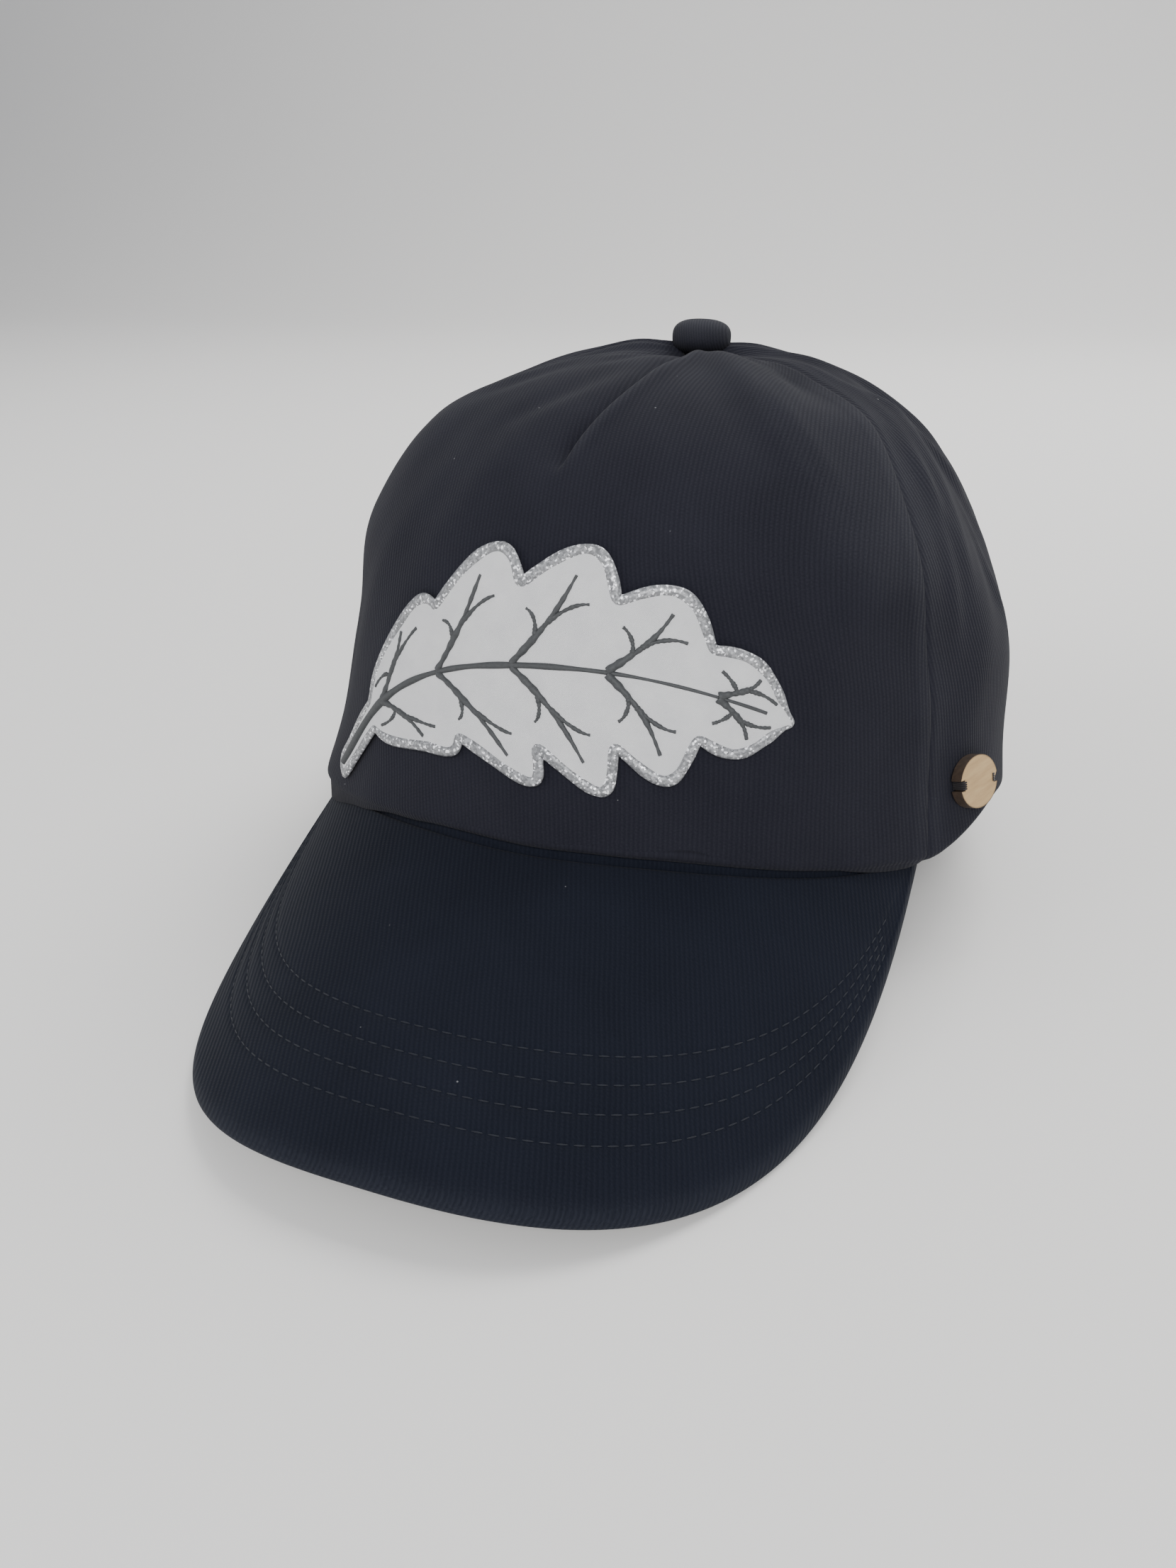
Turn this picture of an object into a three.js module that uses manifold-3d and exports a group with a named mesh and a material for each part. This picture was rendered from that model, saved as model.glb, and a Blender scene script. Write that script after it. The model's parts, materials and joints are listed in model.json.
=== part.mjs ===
// A soft cotton cap: five sewn panels, a curved peak, a covered button on top, a leaf cut from pale
// cloth on the front, a small wooden tag on the wearer's left and an adjusting strap across the back.
//
// Everything is shaped as worn: +Z towards the button, -Y towards the peak, +X to the wearer's left,
// with z = 0 where the crown meets the peak at the centre front. The whole cap is then tipped back
// onto the peak's edge and the back of its rim, which is how it rests on a table.
// Units are millimetres and degrees.

import * as THREE from "three";
import { mergeVertices } from "three/addons/utils/BufferGeometryUtils.js";
import Module from "manifold-3d";

// Driving dimensions

const CROWN_HEIGHT = 111; // from the front joint up to the cloth under the button
const BUTTON_LEAN = 1.6; // the button sits this far behind the middle of the rim
const BUTTON_ASIDE = 1.4; // and this far to the wearer's left
const CLOTH = 1.6; // two layers of twill along most of the crown
const GAP = 0.3; // clearance between sewn pieces

// Level cuts through the crown: rise is a share of the height, the rest is the reach from the middle.
const SECTIONS = [
  { rise: 0.0, front: 97.5, side: 87.5, back: 97.0 },
  { rise: 0.308, front: 94.0, side: 88.5, back: 100.0 },
  { rise: 0.596, front: 91.5, side: 77.0, back: 93.0 },
  { rise: 0.822, front: 70.0, side: 60.2, back: 71.0 },
  { rise: 0.966, front: 29.5, side: 32.0, back: 35.0 },
  { rise: 1.0, front: 0.0, side: 0.0, back: 0.0 },
];
const CROWN_TOP = 0.965; // the panels stop here, under the button

// Panels between seams. Azimuth is 0 at the centre front and grows towards the wearer's left.
const PANELS = [
  { name: "front_panel", from: -61, to: 61, columns: 28 },
  { name: "left_side_panel", from: 61, to: 121, columns: 12 },
  { name: "left_back_panel", from: 121, to: 180, columns: 12 },
  { name: "right_back_panel", from: 180, to: 239, columns: 12 },
  { name: "right_side_panel", from: 239, to: 299, columns: 12 },
];
const PANEL_ROWS = 18;
const ROW_EASE = 1.2; // rows lie closer together near the rim
const SEAM_DIP = 0.7;
const SEAM_DIP_HALF_WIDTH = 2.5;

// Folds run down from the button: top and foot are azimuths, low and high are shares of the way up.
const FOLDS = [
  { kind: "dart", sides: [1], top: 0, foot: 0, low: 0.46, high: 1.05, out: -3.4, halfWidth: 4.5 },
  { kind: "ridge", sides: [1, -1], top: 27, foot: 46, low: 0.42, high: 0.98, out: 1.5, halfWidth: 8 },
  { kind: "valley", sides: [1, -1], top: 46, foot: 55, low: 0.58, high: 0.98, out: -1.9, halfWidth: 7 },
  { kind: "ridge", sides: [1, -1], top: 74, foot: 75, low: 0.24, high: 0.72, out: 1.2, halfWidth: 6 },
  { kind: "valley", sides: [1, -1], top: 88, foot: 86, low: 0.2, high: 0.75, out: -1.2, halfWidth: 8 },
  { kind: "bulge", sides: [1, -1], top: 50, foot: 58, low: 0.26, high: 0.74, out: 3.0, halfWidth: 22 },
  { kind: "waist", sides: [1, -1], top: 58, foot: 58, low: 0.04, high: 0.38, out: -1.9, halfWidth: 22 },
];
const FOLD_FADE = 0.16;

// The rim's turned hem stands out a little, most where the peak's ends push it sideways.
const HEM_SWELL = 0.5;
const HEM_FLARES = [
  { azimuth: 76, halfSweep: 22, out: 4.8 },
  { azimuth: -62, halfSweep: 30, out: 5.2 },
];
const HEM_SHARE = 0.085; // how far up the crown the flare fades
const HEM_LEAVES_PEAK = 54; // azimuth where the flared hem starts to hang past the peak's side

// Peak: a stiff curved sheet. Slope and arch bend it down to the front and to both sides.
const PEAK_REACH = 67.6;
const PEAK_END = 62; // azimuth where the peak meets the rim's sides
const PEAK_SLOPE = 32.6;
const PEAK_ARCH = 37.4; // drop from the middle to an end
const PEAK_ARCH_POWER = 2.35;
const PEAK_TIP_LIFT = 2.8;
const PEAK_SQUARENESS = 2.49; // 2 is an ellipse, more is squarer at the corners
const PEAK_WIDEN = 1.0;
const PEAK_THICK = 3.2;
const PEAK_TUCK = 3.2; // the inner edge runs under the crown's cloth
const PEAK_COLUMNS = 32;
const PEAK_ROWS = 9;

// Covered button
const BUTTON_RADIUS = 7.7;
const BUTTON_HEIGHT = 5.7;
const BUTTON_CLOTH_SLOPE = 0.16; // the cloth falls away this steeply from under the button
const BUTTON_DOME = 3.6;
const BUTTON_EDGE = 0.8; // rounding of the lower edge
const BUTTON_DOME_STEPS = 5;
const BUTTON_SIDES = 24;

// Back opening and its strap
const ARCH_HALF_WIDTH = 33;
const ARCH_HEIGHT = 46;
const STRAP_HALF_SWEEP = 30; // azimuth either side of the centre back, past the opening's edges
const STRAP_SHARE = 0.112; // about 20 mm up the crown
const STRAP_THICK = 1.8;
const STRAP_COLUMNS = 20;
const STRAP_ROWS = 3;

// Behind the peak the rim rises over the ears, then comes down to lie flat on the table. These are azimuths.
const EAR_LIFT = 9.2;
const EAR_LIFT_FULL = 82;
const EAR_LIFT_EASE = 1.3; // more than 1 lets the rim stay low longer behind the peak
const FLAT_STARTS = 108;
const FLAT_FULL = 146;

// Leaf patch: a lobed leaf along a curved midrib, laid out flat as across and up from the centre front.
const LEAF_STEM = new THREE.Vector2(-67, 9);
const LEAF_BEND = new THREE.Vector2(-20, 54);
const LEAF_TIP = new THREE.Vector2(56, 31);
const LEAF_HALF_WIDTH = 25;
const LEAF_LOBES = 5;
const LEAF_LOBE_DEPTH = 0.34; // how far the notches between lobes cut in, as a share of the half width
const LEAF_VEIN_LEAN = 36; // the lobes lean this far towards the tip
const LEAF_STALK = 0.16; // share of the midrib that is bare stalk
const LEAF_STALK_HALF_WIDTH = 2.8;
const LEAF_SWELL = 0.75; // under 1 puts the widest part nearer the stalk
const LEAF_FULLNESS = 0.8; // under 1 gives a blunter leaf
const LEAF_TIP_HALF_WIDTH = 0.6;
const LEAF_THICK = 1.0;
const LEAF_STALK_COLUMNS = 4;
const LEAF_LOBE_COLUMNS = 8;
const LEAF_COLUMNS = LEAF_STALK_COLUMNS + LEAF_LOBE_COLUMNS * LEAF_LOBES;
const LEAF_ROWS = 6;
const LEAF_WRAP_RADIUS = 92; // the front panel's mean radius

// Wooden tag
const TAG_LENGTH = 17;
const TAG_WIDTH = 12.7;
const TAG_THICK = 2.5;
const TAG_NOTCH_DEPTH = 1.8; // a notch at each end holds the sewing thread
const TAG_NOTCH_WIDTH = 2.4;
const TAG_AZIMUTH = 70.5;
const TAG_SHARE = 0.083; // share of the way up the crown
const TAG_HALF_SWEEP = 5; // the stretch of cloth that the tag lies against
const TAG_HALF_RISE = 0.04;
const TAG_STANDOFF = 0.5;

// Small helpers

const radians = THREE.MathUtils.degToRad;
const smooth = THREE.MathUtils.smoothstep;
const lerp = THREE.MathUtils.lerp;
const turn = (degrees) => THREE.MathUtils.euclideanModulo(degrees + 180, 360) - 180;
const rim = SECTIONS[0];

function profile(column) {
  return new THREE.SplineCurve(SECTIONS.map((row) => new THREE.Vector2(row[column], row.rise)));
}
const profiles = { front: profile("front"), side: profile("side"), back: profile("back") };

// A closed sheet between two grids of points. Its outer grid faces the way that across x along points.
function sheet(columns, rows, outer, inner) {
  const positions = [];
  for (const grid of [outer, inner])
    for (let row = 0; row <= rows; row++)
      for (let column = 0; column <= columns; column++)
        positions.push(...grid(column / columns, row / rows).toArray());
  const layer = (columns + 1) * (rows + 1);
  const out = (column, row) => row * (columns + 1) + column;
  const into = (column, row) => layer + out(column, row);
  const faces = [];
  const quad = (a, b, c, d) => faces.push(a, b, c, a, c, d);
  for (let row = 0; row < rows; row++)
    for (let column = 0; column < columns; column++) {
      quad(out(column, row), out(column + 1, row), out(column + 1, row + 1), out(column, row + 1));
      quad(into(column, row), into(column, row + 1), into(column + 1, row + 1), into(column + 1, row));
    }
  for (let column = 0; column < columns; column++) {
    quad(into(column, 0), into(column + 1, 0), out(column + 1, 0), out(column, 0));
    quad(out(column, rows), out(column + 1, rows), into(column + 1, rows), into(column, rows));
  }
  for (let row = 0; row < rows; row++) {
    quad(into(0, row), out(0, row), out(0, row + 1), into(0, row + 1));
    quad(out(columns, row), into(columns, row), into(columns, row + 1), out(columns, row + 1));
  }
  const geometry = new THREE.BufferGeometry();
  geometry.setAttribute("position", new THREE.Float32BufferAttribute(positions, 3));
  geometry.setIndex(faces);
  geometry.computeVertexNormals();
  return geometry;
}

// Peak surface

const peakEnd = new THREE.Vector2(
  rim.side * Math.sin(radians(PEAK_END)),
  -rim.front * Math.cos(radians(PEAK_END)),
);

function peakTop(x, y) {
  const ahead = -(y + rim.front);
  const slope = Math.tan(radians(PEAK_SLOPE)) * ahead;
  const arch = PEAK_ARCH * Math.pow(Math.abs(x / peakEnd.x), PEAK_ARCH_POWER);
  const lift = PEAK_TIP_LIFT * Math.pow(Math.max(ahead, 0) / PEAK_REACH, 2);
  return lift - slope - arch;
}

// Across runs from -1 at the wearer's right end to 1 at the left, along from the tucked edge to the front.
function peakPoint(across, along, drop) {
  const azimuth = radians(across * PEAK_END);
  const inner = new THREE.Vector2(
    (rim.side - PEAK_TUCK) * Math.sin(azimuth),
    -(rim.front - PEAK_TUCK) * Math.cos(azimuth),
  );
  const sweep = (across * Math.PI) / 2;
  const power = 2 / PEAK_SQUARENESS;
  const halfWidth = peakEnd.x + PEAK_WIDEN * Math.sin(Math.PI * Math.abs(across));
  const depth = PEAK_REACH + rim.front + peakEnd.y;
  const outer = new THREE.Vector2(
    halfWidth * Math.sign(across) * Math.pow(Math.abs(Math.sin(sweep)), power),
    peakEnd.y - depth * Math.pow(Math.max(Math.cos(sweep), 0), power),
  );
  const at = inner.lerp(outer, along);
  return new THREE.Vector3(at.x, at.y, peakTop(at.x, at.y) - drop);
}

function peakGeometry() {
  const face = (drop) => (across, along) => peakPoint(2 * across - 1, along, drop);
  return sheet(PEAK_COLUMNS, PEAK_ROWS, face(PEAK_THICK), face(0));
}

// The table: a plane through the back of the rim that just carries the peak's lower edge

const rimSideHeight = peakTop(peakEnd.x, peakEnd.y) + GAP;

function tableSlope() {
  let steepest = 0;
  for (let column = 0; column <= PEAK_COLUMNS; column++) {
    const foot = peakPoint((2 * column) / PEAK_COLUMNS - 1, 1, PEAK_THICK);
    steepest = Math.max(steepest, (rimSideHeight - foot.z) / (rim.back - foot.y));
  }
  return steepest;
}
const TABLE_SLOPE = tableSlope();
const tableHeight = (y) => rimSideHeight - (rim.back - y) * TABLE_SLOPE;

// Crown surface

// Height of the rim's edge: on the peak in front, over the ears at the sides, on the table behind.
// Near the peak's ends the flared hem hangs past the peak, so there the edge goes by the plain rim.
function rimHeight(azimuth, x, y) {
  const turned = Math.abs(turn(azimuth));
  if (turned < PEAK_END) {
    const leaving = smooth(turned, HEM_LEAVES_PEAK, PEAK_END);
    const plainX = rim.side * Math.sin(radians(turned));
    const plainY = -rim.front * Math.cos(radians(turned));
    return peakTop(lerp(Math.abs(x), plainX, leaving), lerp(y, plainY, leaving)) + GAP;
  }
  const pastPeak = THREE.MathUtils.clamp((turned - PEAK_END) / (EAR_LIFT_FULL - PEAK_END), 0, 1);
  const lifted = rimSideHeight + EAR_LIFT * Math.sin(radians(90 * Math.pow(pastPeak, EAR_LIFT_EASE)));
  return lerp(lifted, tableHeight(y), smooth(turned, FLAT_STARTS, FLAT_FULL));
}

function crownSurface(azimuth, share) {
  const sine = Math.sin(radians(azimuth));
  const cosine = Math.cos(radians(azimuth));
  const lengthwise = (cosine > 0 ? profiles.front : profiles.back).getPoint(share);
  const sideways = profiles.side.getPoint(share);
  const reach = cosine > 0 ? rim.front : rim.back;
  const foot = rimHeight(azimuth, rim.side * sine, -reach * cosine);
  return new THREE.Vector3(
    sideways.x * sine,
    BUTTON_LEAN * share * share - lengthwise.x * cosine,
    foot + (CROWN_HEIGHT - foot) * lengthwise.y,
  );
}

// The crown's outward direction, from small steps along and across its surface.
const SHARE_STEP = 0.002;
const AZIMUTH_STEP = 0.2;

function crownNormal(azimuth, share) {
  const low = Math.max(share - SHARE_STEP, 0);
  const high = share + SHARE_STEP;
  const ahead = crownSurface(azimuth - AZIMUTH_STEP, share);
  const across = crownSurface(azimuth + AZIMUTH_STEP, share).sub(ahead);
  const up = crownSurface(azimuth, high).sub(crownSurface(azimuth, low));
  return across.cross(up).normalize();
}

// How far folds, seams and the hem move the cloth out from the smooth crown.
function clothOffset(azimuth, share) {
  const here = crownSurface(azimuth, share);
  const radius = Math.hypot(here.x, here.y - BUTTON_LEAN * share * share);
  const arc = (other) => radius * radians(Math.abs(turn(azimuth - other)));
  let offset = 0;
  for (const fold of FOLDS)
    for (const side of fold.sides) {
      const upFold = THREE.MathUtils.clamp((share - fold.low) / (1 - fold.low), 0, 1);
      const line = side * lerp(fold.foot, fold.top, upFold);
      const fade =
        smooth(share, fold.low, fold.low + FOLD_FADE) *
        (1 - smooth(share, fold.high - FOLD_FADE, fold.high));
      offset += fold.out * fade * Math.exp(-Math.pow(arc(line) / fold.halfWidth, 2));
    }
  for (const panel of PANELS)
    offset -= SEAM_DIP * Math.exp(-Math.pow(arc(panel.from) / SEAM_DIP_HALF_WIDTH, 2));
  let hem = HEM_SWELL;
  for (const flare of HEM_FLARES)
    hem += flare.out * Math.exp(-Math.pow(turn(azimuth - flare.azimuth) / flare.halfSweep, 2));
  return offset + hem * Math.exp(-Math.pow(share / HEM_SHARE, 2));
}

// A point of the cloth, proud of the crown's outside by some distance. The rim's edge is cut level.
function clothPoint(azimuth, share, proud) {
  const point = crownSurface(azimuth, share);
  const normal = crownNormal(azimuth, share);
  point.addScaledVector(normal, clothOffset(azimuth, share) + proud);
  if (share === 0) point.z = rimHeight(azimuth, point.x, point.y);
  return point;
}

// Crown panels

function panelGeometry(panel) {
  const face = (proud) => (across, up) => {
    const share = CROWN_TOP * Math.pow(up, ROW_EASE);
    const middle = crownSurface(panel.from, share);
    const radius = Math.hypot(middle.x, middle.y - BUTTON_LEAN * share * share);
    const seamGap = THREE.MathUtils.radToDeg(GAP / 2 / radius);
    const azimuth = lerp(panel.from + seamGap, panel.to - seamGap, across);
    return clothPoint(azimuth, share, proud);
  };
  return sheet(panel.columns, PANEL_ROWS, face(0), face(-CLOTH));
}

// Back opening: an arch cut through both back panels

const wasm = await Module();
wasm.setup();

function solid(geometry) {
  const bare = geometry.clone();
  bare.deleteAttribute("normal");
  bare.deleteAttribute("uv");
  const merged = mergeVertices(bare, 1e-4);
  return new wasm.Manifold(
    new wasm.Mesh({
      numProp: 3,
      vertProperties: new Float32Array(merged.attributes.position.array),
      triVerts: new Uint32Array(merged.index.array),
    }),
  );
}

function geometryOf(made) {
  const mesh = made.getMesh();
  const geometry = new THREE.BufferGeometry();
  geometry.setAttribute("position", new THREE.Float32BufferAttribute(mesh.vertProperties, 3));
  geometry.setIndex(Array.from(mesh.triVerts));
  geometry.computeVertexNormals();
  return geometry;
}

function archCutter() {
  const below = rimSideHeight - ARCH_HEIGHT;
  const springing = rimSideHeight + ARCH_HEIGHT - ARCH_HALF_WIDTH;
  const outline = new THREE.Shape();
  outline.moveTo(-ARCH_HALF_WIDTH, below);
  outline.lineTo(ARCH_HALF_WIDTH, below);
  outline.lineTo(ARCH_HALF_WIDTH, springing);
  outline.absarc(0, springing, ARCH_HALF_WIDTH, 0, Math.PI, false);
  outline.closePath();
  const depth = rim.back;
  const cutter = new THREE.ExtrudeGeometry(outline, { depth, bevelEnabled: false, curveSegments: 12 });
  cutter.rotateX(Math.PI / 2);
  cutter.translate(0, 1.5 * depth, 0);
  return cutter;
}

// Strap inside the back panels, across the opening

function strapGeometry() {
  const face = (proud) => (across, up) => {
    const azimuth = 180 + STRAP_HALF_SWEEP * (2 * across - 1);
    return clothPoint(azimuth, STRAP_SHARE * up, proud);
  };
  const outside = -CLOTH - GAP;
  return sheet(STRAP_COLUMNS, STRAP_ROWS, face(outside), face(outside - STRAP_THICK));
}

// Button: a flat dome turned on the crown's axis, hollowed below to sit on the sloping cloth

function buttonGeometry() {
  const sag = BUTTON_CLOTH_SLOPE * BUTTON_RADIUS;
  const waist = BUTTON_HEIGHT - BUTTON_DOME;
  const outline = new THREE.Path();
  outline.moveTo(0, 0);
  outline.lineTo(BUTTON_RADIUS - BUTTON_EDGE, BUTTON_EDGE - sag);
  outline.lineTo(BUTTON_RADIUS, 2 * BUTTON_EDGE - sag);
  outline.lineTo(BUTTON_RADIUS, waist);
  outline.absellipse(0, waist, BUTTON_RADIUS, BUTTON_DOME, 0, Math.PI / 2, false);
  const geometry = new THREE.LatheGeometry(outline.getPoints(BUTTON_DOME_STEPS), BUTTON_SIDES);
  geometry.rotateX(Math.PI / 2);
  return geometryOf(solid(geometry));
}

// Leaf patch

const leafMidrib = new THREE.QuadraticBezierCurve(LEAF_STEM, LEAF_BEND, LEAF_TIP);

function leafHalfWidth(blade) {
  const stalk = lerp(LEAF_STALK_HALF_WIDTH, LEAF_TIP_HALF_WIDTH, blade);
  const body = Math.pow(Math.sin(Math.PI * Math.pow(blade, LEAF_SWELL)), LEAF_FULLNESS);
  const notch = 1 - Math.abs(Math.sin(Math.PI * LEAF_LOBES * blade));
  return Math.max(stalk, LEAF_HALF_WIDTH * body * (1 - LEAF_LOBE_DEPTH * notch));
}

// Where the leaf's flat pattern lies on the front panel, which is nearly upright below this section.
const LEAF_TOP_SECTION = 2;
const leafTopHeight = SECTIONS[LEAF_TOP_SECTION].rise * CROWN_HEIGHT;

function wrapped(flat, proud) {
  const azimuth = THREE.MathUtils.radToDeg(flat.x / LEAF_WRAP_RADIUS);
  const share = (LEAF_TOP_SECTION / (SECTIONS.length - 1)) * (flat.y / leafTopHeight);
  return clothPoint(azimuth, share, proud);
}

function leafPoint(along, across, proud) {
  const stalkEnd = LEAF_STALK_COLUMNS / LEAF_COLUMNS;
  const blade = Math.max(along - stalkEnd, 0) / (1 - stalkEnd);
  const stalk = Math.min(along / stalkEnd, 1);
  const share = LEAF_STALK * stalk + (1 - LEAF_STALK) * blade;
  const tangent = leafMidrib.getTangent(share);
  const reach = leafHalfWidth(blade) * (2 * across - 1);
  const lean = Math.abs(reach) * Math.tan(radians(LEAF_VEIN_LEAN)) * smooth(blade, 0, 1 / LEAF_LOBES / 2);
  const flat = leafMidrib.getPoint(share).addScaledVector(tangent, lean);
  flat.x -= tangent.y * reach;
  flat.y += tangent.x * reach;
  return wrapped(flat, proud);
}

function leafGeometry() {
  const face = (proud) => (along, across) => leafPoint(along, across, proud);
  return sheet(LEAF_COLUMNS, LEAF_ROWS, face(GAP + LEAF_THICK), face(GAP));
}

// Wooden tag: an oval disc with a thread notch at each end

function tagGeometry() {
  const halfLength = TAG_LENGTH / 2;
  const halfWidth = TAG_WIDTH / 2;
  const halfNotch = TAG_NOTCH_WIDTH / 2;
  const floor = halfLength - TAG_NOTCH_DEPTH;
  const corner = Math.asin(halfNotch / halfWidth);
  const outline = new THREE.Shape();
  outline.moveTo(floor, halfNotch);
  outline.absellipse(0, 0, halfLength, halfWidth, corner, Math.PI - corner, false);
  outline.lineTo(-floor, halfNotch);
  outline.lineTo(-floor, -halfNotch);
  outline.absellipse(0, 0, halfLength, halfWidth, Math.PI + corner, 2 * Math.PI - corner, false);
  outline.lineTo(floor, -halfNotch);
  outline.closePath();
  return new THREE.ExtrudeGeometry(outline, { depth: TAG_THICK, bevelEnabled: false, curveSegments: 14 });
}

function placeTag(tag) {
  const ahead = clothPoint(TAG_AZIMUTH - TAG_HALF_SWEEP, TAG_SHARE, 0);
  const behind = clothPoint(TAG_AZIMUTH + TAG_HALF_SWEEP, TAG_SHARE, 0);
  const below = clothPoint(TAG_AZIMUTH, TAG_SHARE - TAG_HALF_RISE, 0);
  const above = clothPoint(TAG_AZIMUTH, TAG_SHARE + TAG_HALF_RISE, 0);
  const normal = behind.sub(ahead).cross(above.sub(below)).normalize();
  const across = new THREE.Vector3(0, 0, 1).cross(normal).normalize();
  const up = normal.clone().cross(across);
  tag.position.copy(clothPoint(TAG_AZIMUTH, TAG_SHARE, TAG_STANDOFF));
  tag.quaternion.setFromRotationMatrix(new THREE.Matrix4().makeBasis(across, up, normal));
}

// Assembly

const materials = {
  twill: { color: 0x171a26, roughness: 0.92, metalness: 0 },
  peakTwill: { color: 0x12161f, roughness: 0.92, metalness: 0 },
  paleCloth: { color: 0xc9c9c8, roughness: 0.8, metalness: 0 },
  wood: { color: 0xc79f6e, roughness: 0.6, metalness: 0 },
};

function piece(name, geometry, material) {
  const mesh = new THREE.Mesh(geometry, new THREE.MeshStandardMaterial(materials[material]));
  mesh.name = name;
  return mesh;
}

const worn = new THREE.Group();
const arch = solid(archCutter());
for (const panel of PANELS) {
  const geometry = panelGeometry(panel);
  const opened = panel.name.includes("back");
  worn.add(piece(panel.name, opened ? geometryOf(solid(geometry).subtract(arch)) : geometry, "twill"));
}
worn.add(piece("peak", peakGeometry(), "peakTwill"));
worn.add(piece("back_strap", strapGeometry(), "twill"));

const button = piece("top_button", buttonGeometry(), "twill");
button.position.set(BUTTON_ASIDE, BUTTON_LEAN, CROWN_HEIGHT + GAP);
worn.add(button);

worn.add(piece("leaf_patch", leafGeometry(), "paleCloth"));

const tag = piece("wood_tag", tagGeometry(), "wood");
placeTag(tag);
worn.add(tag);

// The cap at rest: tipped back onto the table, with the origin under the middle of its box
worn.rotation.x = -Math.atan(TABLE_SLOPE);
const cap = new THREE.Group();
cap.add(worn);
cap.updateMatrixWorld(true);
const box = new THREE.Box3().setFromObject(cap, true);
const middle = box.getCenter(new THREE.Vector3());
worn.position.set(-middle.x, -middle.y, -box.min.z);

export default cap;
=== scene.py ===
# %% [markdown]
# # A navy cotton cap
# The cap is five sewn panels, a stiff curved peak, a covered button, a pale leaf sewn to the front, a
# small wooden tag and a strap at the back. The solids already have the right sizes. This lesson dresses
# them: every sheet of cloth starts as a flat grid, which is bent onto the crown and then given folds,
# seams, stitches and weave.

# %% Load the frame
import json
import math

import bmesh
import bpy
import numpy as np
from mathutils import Matrix, Vector
from mathutils.kdtree import KDTree


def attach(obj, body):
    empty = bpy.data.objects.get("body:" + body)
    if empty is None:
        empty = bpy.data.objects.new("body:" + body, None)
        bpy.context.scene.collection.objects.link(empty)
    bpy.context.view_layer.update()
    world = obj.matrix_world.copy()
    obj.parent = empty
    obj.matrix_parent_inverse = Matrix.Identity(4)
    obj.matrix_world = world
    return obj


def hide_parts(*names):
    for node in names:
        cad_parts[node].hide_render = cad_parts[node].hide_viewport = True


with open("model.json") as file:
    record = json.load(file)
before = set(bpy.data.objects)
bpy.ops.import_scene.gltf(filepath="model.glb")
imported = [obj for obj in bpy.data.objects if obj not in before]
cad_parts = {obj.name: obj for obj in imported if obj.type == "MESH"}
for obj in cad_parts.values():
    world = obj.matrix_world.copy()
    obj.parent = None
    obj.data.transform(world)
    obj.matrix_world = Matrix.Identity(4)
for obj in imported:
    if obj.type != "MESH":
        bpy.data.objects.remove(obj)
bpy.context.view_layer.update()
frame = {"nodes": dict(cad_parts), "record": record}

# %% [markdown]
# ## The cap as worn
# A cap is easiest to describe as it sits on a head: up is towards the button, forward towards the peak.
# At rest it is tipped back onto a table. The record's head opening says where the middle of the rim is
# and which way it faces, so one matrix takes a point in millimetres as worn to metres on the table.

# %% From worn millimetres to the table
opening = next(mount for mount in frame["record"]["mounts"] if mount["name"] == "head_opening")
tip_back = math.atan2(opening["axis"][1], -opening["axis"][2])
MILLIMETRE = 0.001
WORN = (
    Matrix.Translation(opening["pos_m"])
    @ Matrix.Rotation(tip_back, 4, "X")
    @ Matrix.Scale(MILLIMETRE, 4)
)


def on_table(points):
    """Moves worn points, one a row and in millimetres, to where the cap rests."""
    turn_and_scale = np.array(WORN.to_3x3())
    return np.asarray(points) @ turn_and_scale.T + np.array(WORN.translation)


def unit(vectors):
    return vectors / np.linalg.norm(vectors, axis=-1, keepdims=True)


def smooth_step(value, low, high):
    share = np.clip((value - low) / (high - low), 0, 1)
    return share * share * (3 - 2 * share)


print("tipped back by", round(-math.degrees(tip_back), 2), "degrees")

# %% [markdown]
# ## The peak and the crown as formulas
# Lofting section curves by hand would work, but a formula can be asked for any point, so the same few
# sizes serve the panels, the stitches and the patch. The crown is a table of level cuts, read on a
# smooth curve. The peak is a sheet that slopes to the front and arches down to both ends.

# %% Sizes of the crown and the peak
CROWN_HEIGHT = 111.0
BUTTON_LEAN = 1.6
CROWN_TOP = 0.965
CLOTH = 1.6
GAP = 0.3
SECTIONS = {
    "rise": [0.0, 0.308, 0.596, 0.822, 0.966, 1.0],
    "front": [97.5, 94.0, 91.5, 70.0, 29.5, 0.0],
    "side": [87.5, 88.5, 77.0, 60.2, 32.0, 0.0],
    "back": [97.0, 100.0, 93.0, 71.0, 35.0, 0.0],
}
RIM_FRONT, RIM_SIDE, RIM_BACK = (SECTIONS[column][0] for column in ("front", "side", "back"))

PEAK_REACH = 67.6
PEAK_END = 62.0
PEAK_SLOPE = 32.6
PEAK_ARCH = 37.4
PEAK_ARCH_POWER = 2.35
PEAK_TIP_LIFT = 2.8
PEAK_SQUARENESS = 2.49
PEAK_WIDEN = 1.0
PEAK_THICK = 3.2
PEAK_TUCK = 3.2
PEAK_END_X = RIM_SIDE * math.sin(math.radians(PEAK_END))
PEAK_END_Y = -RIM_FRONT * math.cos(math.radians(PEAK_END))
print("rim:", 2 * RIM_SIDE, "mm wide,", RIM_FRONT + RIM_BACK, "mm long")


# %% The peak's surface
def peak_top(x, y):
    """Height of the peak's upper side."""
    ahead = -(y + RIM_FRONT)
    slope = math.tan(math.radians(PEAK_SLOPE)) * ahead
    arch = PEAK_ARCH * np.abs(x / PEAK_END_X) ** PEAK_ARCH_POWER
    lift = PEAK_TIP_LIFT * (np.maximum(ahead, 0) / PEAK_REACH) ** 2
    return lift - slope - arch


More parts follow.
